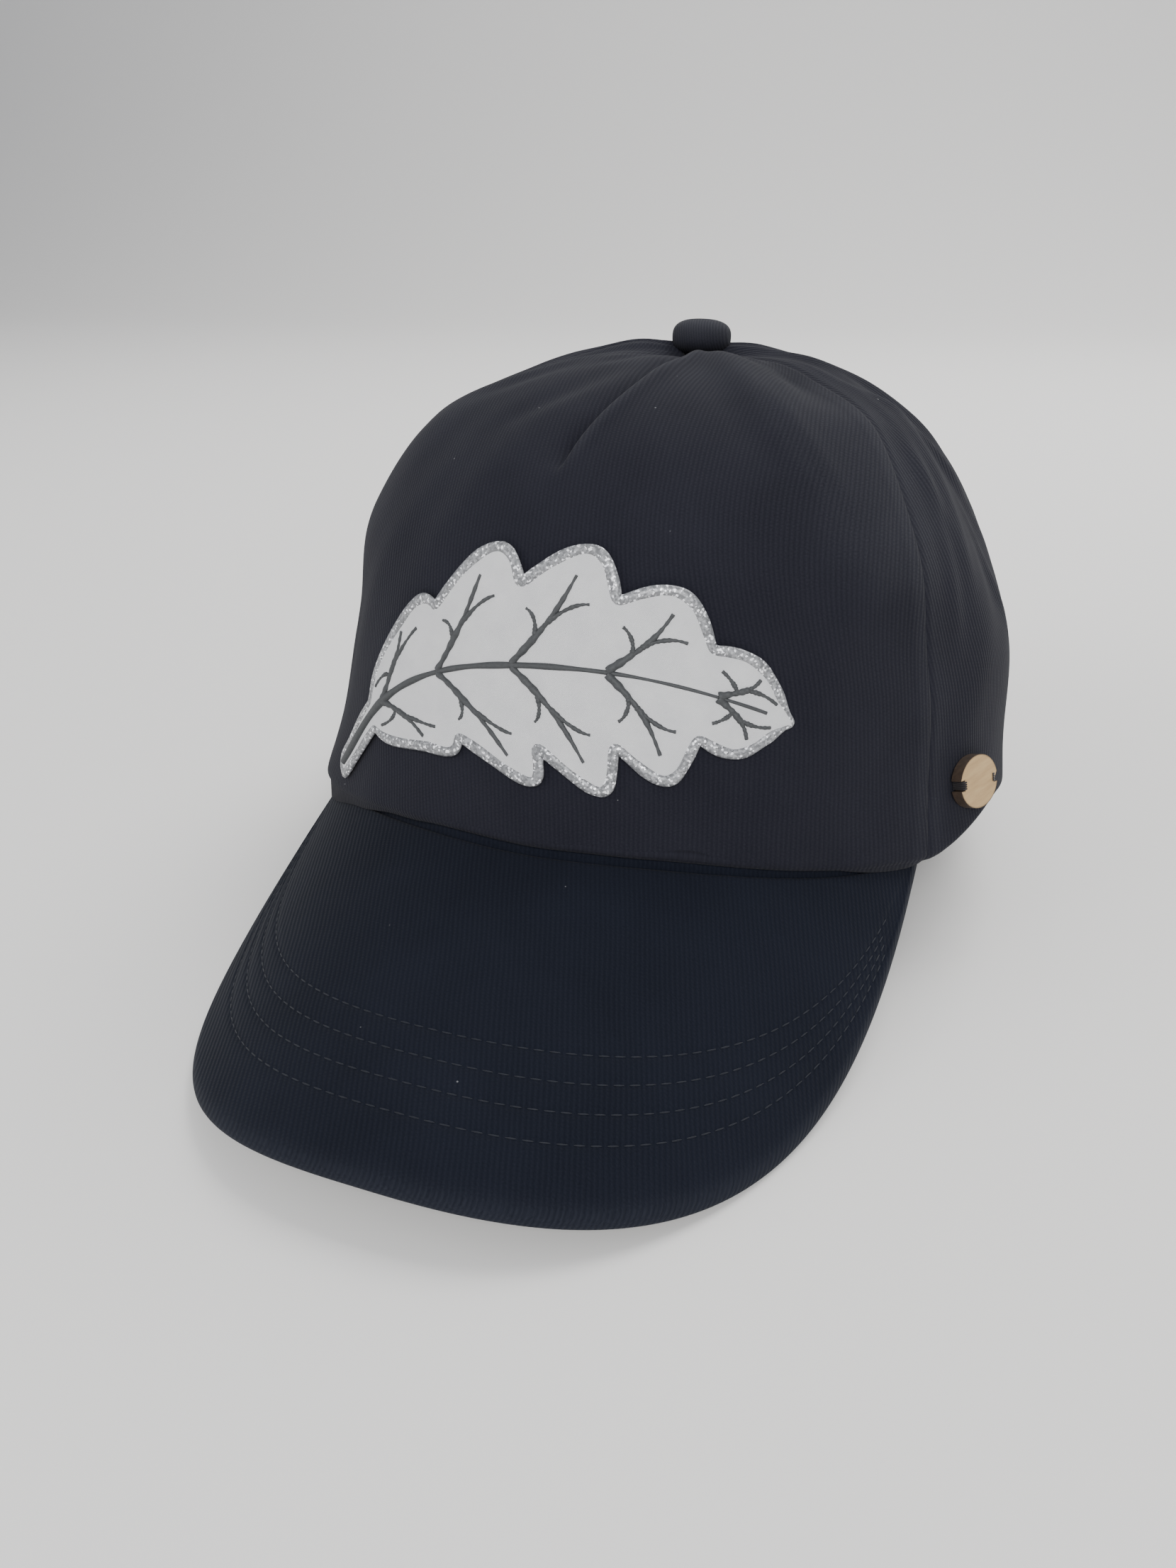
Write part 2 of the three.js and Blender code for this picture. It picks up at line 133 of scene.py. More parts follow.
def peak_edges(across):
    """The peak's tucked edge and its front edge, seen from above, for across from -1 to 1."""
    azimuth = np.radians(across * PEAK_END)
    inner = np.stack(
        [(RIM_SIDE - PEAK_TUCK) * np.sin(azimuth), -(RIM_FRONT - PEAK_TUCK) * np.cos(azimuth)], axis=-1
    )
    sweep = across * math.pi / 2
    power = 2 / PEAK_SQUARENESS
    half_width = PEAK_END_X + PEAK_WIDEN * np.sin(math.pi * np.abs(across))
    depth = PEAK_REACH + RIM_FRONT + PEAK_END_Y
    outer = np.stack(
        [
            half_width * np.sign(across) * np.abs(np.sin(sweep)) ** power,
            PEAK_END_Y - depth * np.maximum(np.cos(sweep), 0) ** power,
        ],
        axis=-1,
    )
    return inner, outer


print("front edge of the peak:", round(float(peak_top(0.0, -RIM_FRONT - PEAK_REACH)), 1), "mm high")

# %% The rim's height
RIM_SIDE_HEIGHT = float(peak_top(PEAK_END_X, PEAK_END_Y)) + GAP
EAR_LIFT, EAR_LIFT_FULL, EAR_LIFT_EASE = 9.2, 82.0, 1.3
HEM_LEAVES_PEAK, HEM_STANDS_OFF = 54.0, 0.5
TABLE_SLOPE = math.tan(-tip_back)
FLAT_STARTS, FLAT_FULL = 108.0, 146.0


def turned(azimuth):
    """An azimuth between -180 and 180 degrees."""
    return (np.asarray(azimuth, dtype=float) + 180) % 360 - 180


def rim_height(azimuth, x, y):
    """Height of the rim's edge: on the peak in front, over the ears at the sides, on the table behind."""
    away = np.abs(turned(azimuth))
    table = RIM_SIDE_HEIGHT - (RIM_BACK - y) * TABLE_SLOPE
    past_peak = np.clip((away - PEAK_END) / (EAR_LIFT_FULL - PEAK_END), 0, 1)
    lifted = RIM_SIDE_HEIGHT + EAR_LIFT * np.sin(past_peak**EAR_LIFT_EASE * math.pi / 2)
    flat = smooth_step(away, FLAT_STARTS, FLAT_FULL)
    behind = lifted * (1 - flat) + table * flat
    leaving = smooth_step(away, HEM_LEAVES_PEAK, PEAK_END)
    plain_x = RIM_SIDE * np.sin(np.radians(away))
    plain_y = -RIM_FRONT * np.cos(np.radians(away))
    over_x = np.abs(x) + (plain_x - np.abs(x)) * leaving
    over_y = y + (plain_y - y) * leaving
    on_peak = peak_top(over_x, over_y) + GAP + HEM_STANDS_OFF * (1 - leaving)
    return np.where(away < PEAK_END, on_peak, behind)


print("rim at the sides:", round(RIM_SIDE_HEIGHT, 2), "mm")

# %% The crown's surface
SMALL_TURN, SMALL_CLIMB = 0.2, 0.002


def along_sections(column, share):
    """Reads a column of the table at a share of the way up, on a smooth curve through its rows."""
    rows = np.array(SECTIONS[column])
    last = len(rows) - 1
    place = np.clip(share, 0, 1) * last
    low = np.minimum(place.astype(int), last - 1)
    step = place - low
    before, start, stop, after = (rows[np.clip(low + shift, 0, last)] for shift in (-1, 0, 1, 2))
    leave, arrive = (stop - before) / 2, (after - start) / 2
    cubic = 2 * start - 2 * stop + leave + arrive
    square = 3 * stop - 3 * start - 2 * leave - arrive
    return ((cubic * step + square) * step + leave) * step + start


def crown(azimuth, share):
    """A point of the smooth crown. Azimuth is 0 in front and grows towards the wearer's left."""
    azimuth, share = np.broadcast_arrays(np.asarray(azimuth, dtype=float), np.asarray(share, dtype=float))
    sine, cosine = np.sin(np.radians(azimuth)), np.cos(np.radians(azimuth))
    reach = np.where(cosine > 0, along_sections("front", share), along_sections("back", share))
    rim_reach = np.where(cosine > 0, RIM_FRONT, RIM_BACK)
    foot = rim_height(azimuth, RIM_SIDE * sine, -rim_reach * cosine)
    return np.stack(
        [
            along_sections("side", share) * sine,
            BUTTON_LEAN * share**2 - reach * cosine,
            foot + (CROWN_HEIGHT - foot) * along_sections("rise", share),
        ],
        axis=-1,
    )


def outward(azimuth, share):
    """The crown's outward direction, from small steps across and up."""
    across = crown(azimuth + SMALL_TURN, share) - crown(azimuth - SMALL_TURN, share)
    up = crown(azimuth, share + SMALL_CLIMB) - crown(azimuth, np.maximum(share - SMALL_CLIMB, 0))
    return unit(np.cross(across, up))


def crown_radius(azimuth, share):
    """How far a point of the crown is from the line that leans up to the button."""
    here = crown(azimuth, share)
    return np.hypot(here[..., 0], here[..., 1] - BUTTON_LEAN * np.asarray(share) ** 2)


print("apex:", crown(0.0, 1.0).round(1), "mm")

# %% [markdown]
# ## Folds, seams and the hem
# Sewing marks cloth in a few ways. A dart is a sharp crease, a slack panel hangs in soft ridges and
# valleys, a seam sinks between two low welts where the cloth is doubled, and the rim's hem swells. Each
# is a small offset along the crown's outward direction, so they simply add up. Sculpting would give the
# same look, but the numbers can be checked and changed.

# %% Soft folds
SEAMS = [61.0, 121.0, 180.0, 239.0, 299.0]
# Sides are 1 for the wearer's left and -1 for the right. Top and foot are azimuths in degrees, low and
# high are shares of the way up, out and half_width are millimetres.
FOLD_COLUMNS = ("sides", "top", "foot", "low", "high", "out", "half_width")
FOLD_ROWS = [
    ((1, -1), 27, 46, 0.42, 0.93, 1.3, 8.0),
    ((1, -1), 46, 55, 0.58, 0.94, -1.5, 8.0),
    ((1, -1), 70, 69, 0.20, 0.90, 0.5, 2.6),
    ((1, -1), 76, 75, 0.24, 0.74, 1.0, 4.0),
    ((1, -1), 88, 86, 0.20, 0.75, -1.2, 8.0),
    ((1, -1), 50, 58, 0.26, 0.74, 3.0, 22.0),
    ((1, -1), 58, 58, 0.04, 0.38, -1.9, 22.0),
    ((1,), 11, 51, 0.42, 0.94, 0.7, 3.4),
    ((1,), 1, 45, 0.42, 0.90, -0.7, 6.0),
    ((-1,), -24, 28, 0.50, 0.88, -0.9, 6.0),
    ((-1,), -4, 52, 0.52, 0.92, -1.0, 6.0),
    ((-1,), 16, 66, 0.50, 0.92, -0.9, 5.0),
    ((1,), 78, 100, 0.50, 0.92, 1.0, 3.2),
    ((1,), 40, 101, 0.40, 0.74, 1.0, 3.0),
    ((1,), 60, 99, 0.33, 0.66, 0.8, 2.6),
    ((1,), 70, 94, 0.17, 0.52, 0.7, 2.6),
    ((1,), 52, 75, 0.34, 0.64, 0.6, 2.4),
]
FOLDS = [dict(zip(FOLD_COLUMNS, row)) for row in FOLD_ROWS]
FOLD_FADE = 0.16


def bell(distance, half_width):
    """1 in the middle, and falling smoothly to nothing on both sides."""
    return np.exp(-((distance / half_width) ** 2))


def seam_distance(azimuth, share):
    """Millimetres of cloth to the nearest seam."""
    radius = crown_radius(azimuth, share)
    gaps = [np.abs(turned(azimuth - seam)) for seam in SEAMS]
    return radius * np.radians(np.min(gaps, axis=0))


def soft_folds(azimuth, share):
    """All the soft ridges and valleys, each fading out at both of its ends."""
    radius = crown_radius(azimuth, share)
    offset = np.zeros_like(radius)
    for fold in FOLDS:
        climb = np.clip((share - fold["low"]) / (1 - fold["low"]), 0, 1)
        fade = smooth_step(share, fold["low"], fold["low"] + FOLD_FADE)
        fade = fade * (1 - smooth_step(share, fold["high"] - FOLD_FADE, fold["high"]))
        for side in fold["sides"]:
            line = side * (fold["foot"] + (fold["top"] - fold["foot"]) * climb)
            arc = radius * np.radians(np.abs(turned(azimuth - line)))
            offset += fold["out"] * fade * bell(arc, fold["half_width"])
    return offset


print("folds:", sum(len(fold["sides"]) for fold in FOLDS))

# %% The dart and the button's seat
DART = {"low": 0.49, "full": 0.55, "lean_ends": 0.70, "shallow": 0.79, "top": 0.92}
DART_DEPTH, DART_EASED = 4.5, 0.75
DART_UNDER, DART_OVER = 2.3, 0.5
DART_LIP = {"out": 0.8, "from": 2.8, "half_width": 2.4}
DART_FOOT_ASIDE, DART_ASIDE = -2.2, 4.4
BUTTON_ASIDE = 1.4
SEAT_AZIMUTH, SEAT_AHEAD = 20.0, (0.1, 0.75)
SEAT_DIP = {"depth": 3.6, "half_width": 28.0}
SEAT_RISE = {"out": 1.3, "from": 15.0, "half_width": 9.0}


def dart_arc(azimuth, share):
    """Millimetres from the dart's line, which leans from one side of the centre front to the other."""
    leaning = smooth_step(share, DART["low"], DART["lean_ends"])
    aside = DART_FOOT_ASIDE + (DART_ASIDE - DART_FOOT_ASIDE) * leaning
    aside = aside + (BUTTON_ASIDE - DART_ASIDE) * smooth_step(share, DART["shallow"], DART["top"])
    return crown_radius(azimuth, share) * np.radians(turned(azimuth)) - aside


def dart(azimuth, share):
    """A crease down the centre front: the cloth dives on one side and rolls over it on the other."""
    arc = dart_arc(azimuth, share)
    deepening = smooth_step(share, DART["low"], DART["full"])
    deepening = deepening * (1 - DART_EASED * smooth_step(share, DART["shallow"], DART["top"]))
    steepness = np.where(arc < 0, DART_UNDER, DART_OVER)
    lip = DART_LIP["out"] * bell(arc - DART_LIP["from"], DART_LIP["half_width"])
    return deepening * (lip - DART_DEPTH * np.exp(-np.abs(arc) / steepness))


def button_seat(azimuth, share):
    """The cloth is drawn down in front of the button and stands a little higher behind it."""
    radius = crown_radius(azimuth, share)
    ahead = smooth_step(np.cos(np.radians(azimuth - SEAT_AZIMUTH)), *SEAT_AHEAD)
    rise = SEAT_RISE["out"] * bell(radius - SEAT_RISE["from"], SEAT_RISE["half_width"])
    return (1 - ahead) * rise - ahead * SEAT_DIP["depth"] * bell(radius, SEAT_DIP["half_width"])


try_azimuth, try_share = np.meshgrid(np.linspace(-20, 20, 81), np.linspace(0.4, 0.95, 56))
print("deepest crease:", dart(try_azimuth, try_share).min().round(2), "mm")

# %% Seams, hem and ripples
HEM_SWELL, HEM_SHARE = 0.5, 0.085
HEM_FLARES = [
    {"azimuth": 76.0, "half_sweep": 22.0, "out": 4.8},
    {"azimuth": -62.0, "half_sweep": 30.0, "out": 5.2},
]
HEM_ROLL, HEM_ROLL_SHARE = 1.2, 0.022
SEAM_GROOVE, SEAM_GROOVE_HALF_WIDTH = 0.2, 0.7
WELT = {"out": 0.1, "starts": 0.3, "full": 1.6, "fades": 4.5, "ends": 6.5}
RIPPLES = [
    {"out": 0.16, "by_azimuth": 0.21, "by_share": 9.0, "start": 0.4},
    {"out": 0.12, "by_azimuth": 0.37, "by_share": -15.0, "start": 1.9},
    {"out": 0.07, "by_azimuth": -0.53, "by_share": 31.0, "start": 3.1},
]


def seam_relief(distance):
    """A groove at the seam, and a low welt on each side of it."""
    rising = smooth_step(distance, WELT["starts"], WELT["full"])
    falling = smooth_step(distance, WELT["fades"], WELT["ends"])
    welt = WELT["out"] * rising * (1 - falling)
    return welt - SEAM_GROOVE * bell(distance, SEAM_GROOVE_HALF_WIDTH)


def hem(azimuth, share):
    """The rim stands out where the peak's ends push it, and its turned edge rolls under."""
    flares = sum(
        flare["out"] * bell(turned(azimuth - flare["azimuth"]), flare["half_sweep"]) for flare in HEM_FLARES
    )
    roll = HEM_ROLL * np.clip(1 - share / HEM_ROLL_SHARE, 0, 1) ** 2
    return (HEM_SWELL + flares) * bell(share, HEM_SHARE) - roll


def ripples(azimuth, share):
    """Low waves all over, so that no cloth is quite smooth."""
    return sum(
        ripple["out"]
        * np.sin(ripple["by_azimuth"] * turned(azimuth) + ripple["by_share"] * share + ripple["start"])
        for ripple in RIPPLES
    )


def cloth(azimuth, share, proud=0.0):
    """A worn point of the sewn crown, proud of its outside by some millimetres."""
    offset = soft_folds(azimuth, share) + dart(azimuth, share) + hem(azimuth, share)
    offset = offset + seam_relief(seam_distance(azimuth, share)) + ripples(azimuth, share)
    offset = offset + button_seat(azimuth, share)
    point = crown(azimuth, share) + outward(azimuth, share) * (offset + proud)[..., None]
    edge = rim_height(azimuth, point[..., 0], point[..., 1])
    point[..., 2] = np.where(share <= 0, edge, point[..., 2])
    return point


print("front of the rim, sewn:", cloth(np.array([0.0]), np.array([0.0])).round(1), "mm")

# %% [markdown]
# ## Camera
# The camera keeps the picture's angle to the cap. It is stated against the worn cap, as a turn, a
# height, a roll and a distance from a point to look at, and then goes to the table with the cap.

# %% Camera at the picture's angle
LOOK_AT = Vector((-16.77, -19.41, -7.45))
LOOK_TURN, LOOK_HEIGHT, LOOK_ROLL = math.radians(21.59), math.radians(16.29), math.radians(2.56)
LOOK_DISTANCE = 343.96
IMAGE_WIDTH, IMAGE_HEIGHT = 1659, 2212
FOCAL_PIXELS = 1730.6

towards_camera = Vector(
    (
        math.sin(LOOK_TURN) * math.cos(LOOK_HEIGHT),
        -math.cos(LOOK_TURN) * math.cos(LOOK_HEIGHT),
        math.sin(LOOK_HEIGHT),
    )
)
level = Vector((0, 0, 1)).cross(towards_camera).normalized()
upright = towards_camera.cross(level)
facing = Matrix((level, upright, towards_camera)).transposed().to_4x4() @ Matrix.Rotation(LOOK_ROLL, 4, "Z")
stand = Matrix.Translation(LOOK_AT + LOOK_DISTANCE * towards_camera)

camera_data = bpy.data.cameras.new("camera")
camera_data.lens = FOCAL_PIXELS / max(IMAGE_WIDTH, IMAGE_HEIGHT) * camera_data.sensor_width
camera_data.clip_start = 0.01
camera = bpy.data.objects.new("camera", camera_data)
bpy.context.collection.objects.link(camera)
place, turning, _ = (WORN @ stand @ facing).decompose()
camera.matrix_world = Matrix.Translation(place) @ turning.to_matrix().to_4x4()
bpy.context.scene.camera = camera
print("camera at", [round(value, 3) for value in place], "lens", round(camera_data.lens, 1))

# %% [markdown]
# ## Floor and light
# A pale sheet that curves up behind the cap gives a background with no horizon line. Four large soft
# lamps stand for a studio: a key from the front right, a fill from the left, one from above and behind,
# which draws the cap's top edge, and one for the sheet itself.


# %% Floor
def linked(name, mesh):
    """An object of a mesh, at the origin, with its place in its mesh."""
    piece = bpy.data.objects.new(name, mesh)
    bpy.context.collection.objects.link(piece)
    return piece


def finished_object(name, made):
    """An object of a bmesh, which is used up."""
    mesh = bpy.data.meshes.new(name)
    made.to_mesh(mesh)
    made.free()
    return linked(name, mesh)


FLOOR_HALF = 2.6
SWEEP_RADIUS, SWEEP_SEGMENTS = 1.3, 20

made = bmesh.new()
bmesh.ops.create_grid(made, x_segments=1, y_segments=1, size=FLOOR_HALF)
far_edge = max(made.edges, key=lambda edge: sum(corner.co.y for corner in edge.verts))
raised = bmesh.ops.extrude_edge_only(made, edges=[far_edge])["geom"]
raised = [item for item in raised if isinstance(item, bmesh.types.BMVert)]
bmesh.ops.translate(made, vec=(0, 0, 2 * FLOOR_HALF), verts=raised)
bmesh.ops.bevel(
    made,
    geom=[far_edge],
    offset=SWEEP_RADIUS,
    segments=SWEEP_SEGMENTS,
    profile=0.5,
    affect="EDGES",
    material=-1,
)
for face in made.faces:
    face.smooth = True
floor = finished_object("floor", made)
pale_sheet = bpy.data.materials.new("pale_sheet")
pale_sheet.use_nodes = True
sheet_shader = pale_sheet.node_tree.nodes["Principled BSDF"]
sheet_shader.inputs["Base Color"].default_value = (0.90, 0.885, 0.86, 1)
sheet_shader.inputs["Roughness"].default_value = 1.0
floor.data.materials.append(pale_sheet)
print("floor faces:", len(floor.data.polygons))

# %% Lamps
CAP_MIDDLE, WALL = (0.0, 0.0, 0.06), (0.0, 2.5, 1.0)
LAMPS = [
    {"name": "key", "at": (0.50, -1.15, 0.80), "to": CAP_MIDDLE, "size": 0.7, "power": 17.0},
    {"name": "fill", "at": (-1.20, -0.80, 0.60), "to": CAP_MIDDLE, "size": 1.2, "power": 8.0},
    {"name": "top", "at": (0.35, 0.75, 1.25), "to": CAP_MIDDLE, "size": 0.9, "power": 13.0},
    {"name": "wall", "at": (0.0, 0.6, 1.9), "to": WALL, "size": 1.6, "power": 26.0},
]
for lamp in LAMPS:
    light = bpy.data.lights.new(lamp["name"], "AREA")
    light.energy = lamp["power"]
    light.size = lamp["size"]
    lamp_object = bpy.data.objects.new(lamp["name"], light)
    lamp_object.location = lamp["at"]
    aim = Vector(lamp["to"]) - Vector(lamp["at"])
    lamp_object.rotation_euler = aim.to_track_quat("-Z", "Y").to_euler()
    bpy.context.collection.objects.link(lamp_object)

world = bpy.data.worlds.new("studio")
world.use_nodes = True
backdrop = world.node_tree.nodes["Background"]
backdrop.inputs["Color"].default_value = (0.90, 0.93, 1.0, 1)
backdrop.inputs["Strength"].default_value = 0.4
bpy.context.scene.world = world
print("lamps:", [lamp["name"] for lamp in LAMPS])

# %% [markdown]
# ## A small language for finishes
# Shader graphs are quick to wire by hand but hard to read back. Here a socket is wrapped so that it
# adds and multiplies like a number, and each operation adds its own Math node. Every other node comes
# from one method.


# %% Sockets as numbers
class Wire:
    """A shader socket that takes part in ordinary arithmetic."""

    def __init__(self, finish, socket):
        self.finish = finish
        self.socket = socket

    def math(self, operation, *others):
        return self.finish.math(operation, self, *others)

    def __add__(self, other):
        return self.math("ADD", other)

    def __sub__(self, other):
        return self.math("SUBTRACT", other)

    def __rsub__(self, other):
        return self.finish.math("SUBTRACT", other, self)

    def __mul__(self, other):
        return self.math("MULTIPLY", other)

    def __truediv__(self, other):
        return self.math("DIVIDE", other)

    def __pow__(self, other):
        return self.math("POWER", other)

    __radd__ = __add__
    __rmul__ = __mul__


class Finish:
    """One material while it is being made."""

    def __init__(self, name, constants):
        self.material = bpy.data.materials.new(name)
        self.material.use_nodes = True
        self.tree = self.material.node_tree
        self.shader = self.tree.nodes["Principled BSDF"]
        for socket, value in constants.items():
            self.shader.inputs[socket].default_value = value

    def feed(self, socket, value):
        if isinstance(value, Wire):
            self.tree.links.new(value.socket, socket)
        else:
            socket.default_value = value

    def node(self, kind, output, settings=None, sockets=None):
        """Adds a node, sets its settings and then its sockets, and returns one of its outputs."""
        added = self.tree.nodes.new(kind)
        for setting, value in (settings or {}).items():
            setattr(added, setting, value)
        for socket, value in (sockets or {}).items():
            self.feed(added.inputs[socket], value)
        return Wire(self, added.outputs[output])

    def math(self, operation, *values):
        return self.node("ShaderNodeMath", "Value", {"operation": operation}, dict(enumerate(values)))

    def flat(self):
        """The cloth's flat map, and its parts across and up."""
        flat = self.node("ShaderNodeUVMap", "UV", {"uv_map": "cloth"})
        across, up = (self.node("ShaderNodeSeparateXYZ", axis, {}, {0: flat}) for axis in "XY")
        return flat, across, up

    def place(self):
        return self.node("ShaderNodeTexCoord", "Object")

    def wear(self):
        return self.node("ShaderNodeAttribute", "Fac", {"attribute_name": "wear"})

    def mixed(self, factor, first, second):
        """A colour between two, by a factor that is kept between 0 and 1."""
        return self.node("ShaderNodeMix", 2, {"data_type": "RGBA"}, {0: factor, 6: first, 7: second})

    def noise(self, place, scale, detail=2.0):
        sockets = {"Vector": place, "Scale": scale, "Detail": detail}
        return self.node("ShaderNodeTexNoise", "Fac", {}, sockets)

    def show(self, **channels):
        """Feeds the shader's sockets, such as Base_Color, with what changes over the surface."""
        for channel, value in channels.items():
            self.feed(self.shader.inputs[channel.replace("_", " ")], value)
        return self.material

    def bump(self, height, distance, strength):
        sockets = {"Height": height, "Distance": distance, "Strength": strength}
        return self.node("ShaderNodeBump", "Normal", {}, sockets)


print("a finish starts with", len(Finish("trial", {}).tree.nodes), "nodes")
bpy.data.materials.remove(bpy.data.materials["trial"])

# %% [markdown]
# ## Navy twill
# Twill is woven in steep ribs, each a row of short raised threads. Every piece of cloth carries a flat
# map in millimetres, so the ribs keep their real spacing and run with the cut of the piece, as on real
# cloth. Wash and wear lighten the threads that stand highest, and a few specks of lint lie on them.

# %% The twill finish
RIB, RIB_WANDER = 1.1, 1.6
THREAD = 0.8
WANDER_SCALE, FUZZ_SCALE, MOTTLE_SCALE, LINT_SCALE = 0.03, 2.6, 0.045, 0.09
LIGHTENS = {"thread": 0.18, "fuzz": 0.7, "mottle": 0.5, "evenly": 0.30}
LINT_SIZE, LINT_WEIGHT, LINT_COLOUR = 0.02, 0.4, (0.35, 0.35, 0.36, 1)
TWILL_RELIEF = 0.0002


def twill(name, rib_lean, deep, pale, worn):
    """Ribbed cloth between a deep and a pale colour, faded to a third colour where it is worn."""
    finish = Finish(name, {"Sheen Weight": 0.03, "Sheen Roughness": 0.5, "Specular IOR Level": 0.12})
    flat, across, up = finish.flat()
    wander = finish.noise(flat, WANDER_SCALE) * RIB_WANDER
    ribs = (across + up * rib_lean + wander) / RIB
    rounded = 0.5 - (ribs * (2 * math.pi)).math("COSINE") * 0.5
    step = (up / THREAD + ribs.math("FLOOR") * 0.5).math("FRACT")
    bulge = (step * math.pi).math("SINE")
    thread = rounded * (bulge * 0.4 + 0.6)
    fuzz = finish.noise(flat, FUZZ_SCALE, 4.0)
    mottle = finish.noise(flat, MOTTLE_SCALE, 3.0)
    wear = finish.wear()
    uneven = (fuzz - 0.5) * LIGHTENS["fuzz"] + (mottle - 0.5) * LIGHTENS["mottle"]
    light = thread * LIGHTENS["thread"] + uneven + LIGHTENS["evenly"]
    cloth_colour = finish.mixed(light, deep, pale)
    faded = finish.mixed(wear * (fuzz * 0.9 + thread * 0.25), cloth_colour, worn)
    cells = {"Vector": flat, "Scale": LINT_SCALE, "Randomness": 1.0}
    lint = finish.node("ShaderNodeTexVoronoi", "Distance", {"feature": "F1"}, cells)
    specks = lint.math("LESS_THAN", LINT_SIZE)
    return finish.show(
        Base_Color=finish.mixed(specks * LINT_WEIGHT, faded, LINT_COLOUR),
        Roughness=1.0 - thread * 0.12,
        Normal=finish.bump(thread + fuzz * 0.5, TWILL_RELIEF, 0.5),
    )


crown_twill = twill(
    "navy_twill", 0.14, (0.0076, 0.0078, 0.0125, 1), (0.0240, 0.0243, 0.034, 1), (0.060, 0.061, 0.07, 1)
)
# The peak's copy of the navy twill is darker than the crown's: partly the cloth's own tone and partly
# painted shade, for the darker light that falls on the peak.
peak_twill = twill(
    "peak_twill", -0.36, (0.0040, 0.0052, 0.0096, 1), (0.0122, 0.0148, 0.025, 1), (0.045, 0.048, 0.06, 1)
)
print("twill nodes:", len(crown_twill.node_tree.nodes))


# %% Thread
def plain_thread(name, colour, pale):
    """Sewing thread: smooth, a little shiny, twisted in fine turns."""
    finish = Finish(name, {"Specular IOR Level": 0.35, "Sheen Weight": 0.1})
    place = finish.place()
    strands = finish.noise(place, 2600.0, 2.0)
    return finish.show(
        Base_Color=finish.mixed(strands, colour, pale),
        Roughness=0.5 + strands * 0.3,
        Normal=finish.bump(strands, 0.0001, 0.4),
    )


navy_thread = plain_thread("navy_thread", (0.0035, 0.0047, 0.0095, 1), (0.0105, 0.0140, 0.0245, 1))
print("thread nodes:", len(navy_thread.node_tree.nodes))

# %% [markdown]
# ## From a flat grid to a piece of cloth
# Each piece of cloth starts as a flat grid. Its corners' places say how far across and up the piece
# they are, and a formula bends them onto the crown. The flat cut is kept as a map for the weave, then
# solidify gives the wall its thickness.


# %% Bending a grid
def grid(columns, rows):
    """A flat grid, with how far across and up each of its corners is, from 0 to 1."""
    made = bmesh.new()
    bmesh.ops.create_grid(made, x_segments=columns, y_segments=rows, size=1.0)
    made.verts.ensure_lookup_table()
    shares = (np.array([corner.co[:2] for corner in made.verts]) + 1) / 2
    return made, shares[:, 0], shares[:, 1]


def bend(made, points, flat, wear):
    """Moves the grid's corners to worn points and stores their flat place and wear."""
    flat_map = made.loops.layers.uv.new("cloth")
    wear_layer = made.verts.layers.float.new("wear")
    for corner, point, amount in zip(made.verts, on_table(points), wear):
        corner.co = point
        corner[wear_layer] = amount
    for face in made.faces:
        face.smooth = True
        for loop in face.loops:
            loop[flat_map].uv = flat[loop.vert.index]
    made.normal_update()


def dressed(piece, material, slot, *nodes):
    """Gives a piece its finish, hides the solids it stands for and prints its size."""
    piece.data.materials.append(material)
    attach(piece, "root")
    if nodes:
        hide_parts(*nodes)
    print(piece.name, sum(len(face.vertices) - 2 for face in piece.data.polygons), "triangles")


made, across, up = grid(4, 2)
print("a grid of 4 by 2 faces has", len(made.verts), "corners")
made.free()

# %% Flat places on the crown
SHARE_STEPS = np.linspace(0, 1, 201)
SEAM_WEAR = {"from": 2.6, "half_width": 1.6, "most": 0.12}
RIDGE_WEAR = {"full": 2.2, "most": 0.2}
LIP_WEAR = {"half_width": 1.5, "most": 0.25}


def flat_cut(azimuth, share, middle):
    """Where cloth lay before it was sewn: across from the piece's middle line, and up along it."""
    line = crown(np.full_like(SHARE_STEPS, middle), SHARE_STEPS)
    length = np.concatenate([[0], np.cumsum(np.linalg.norm(np.diff(line, axis=0), axis=1))])
    across = np.radians(turned(azimuth - middle)) * crown_radius(azimuth, share)
    return np.stack([across, np.interp(share, SHARE_STEPS, length)], axis=-1)


def crown_wear(azimuth, share):
    """More on the welts beside seams, along the dart's lip and on the soft ridges."""
    beside_seam = bell(seam_distance(azimuth, share) - SEAM_WEAR["from"], SEAM_WEAR["half_width"])
    on_ridge = np.clip(soft_folds(azimuth, share) / RIDGE_WEAR["full"], 0, 1)
    lip = bell(dart_arc(azimuth, share) - DART_LIP["from"], LIP_WEAR["half_width"])
    lip = lip * smooth_step(share, DART["low"], DART["full"])
    wear = SEAM_WEAR["most"] * beside_seam + RIDGE_WEAR["most"] * on_ridge**2 + LIP_WEAR["most"] * lip
    return np.clip(wear, 0, 1)


print("cloth from rim to button:", flat_cut(np.array([0.0]), np.array([CROWN_TOP]), 0.0).round(1))

# %% [markdown]
# ## Crown panels
# The front is one wide panel and the sides and back are gores. Columns crowd towards the seams and the
# dart, where the relief is finest. The two back panels meet above an arched opening: the faces inside
# the arch are deleted, and the corners along the cut are drawn onto it.

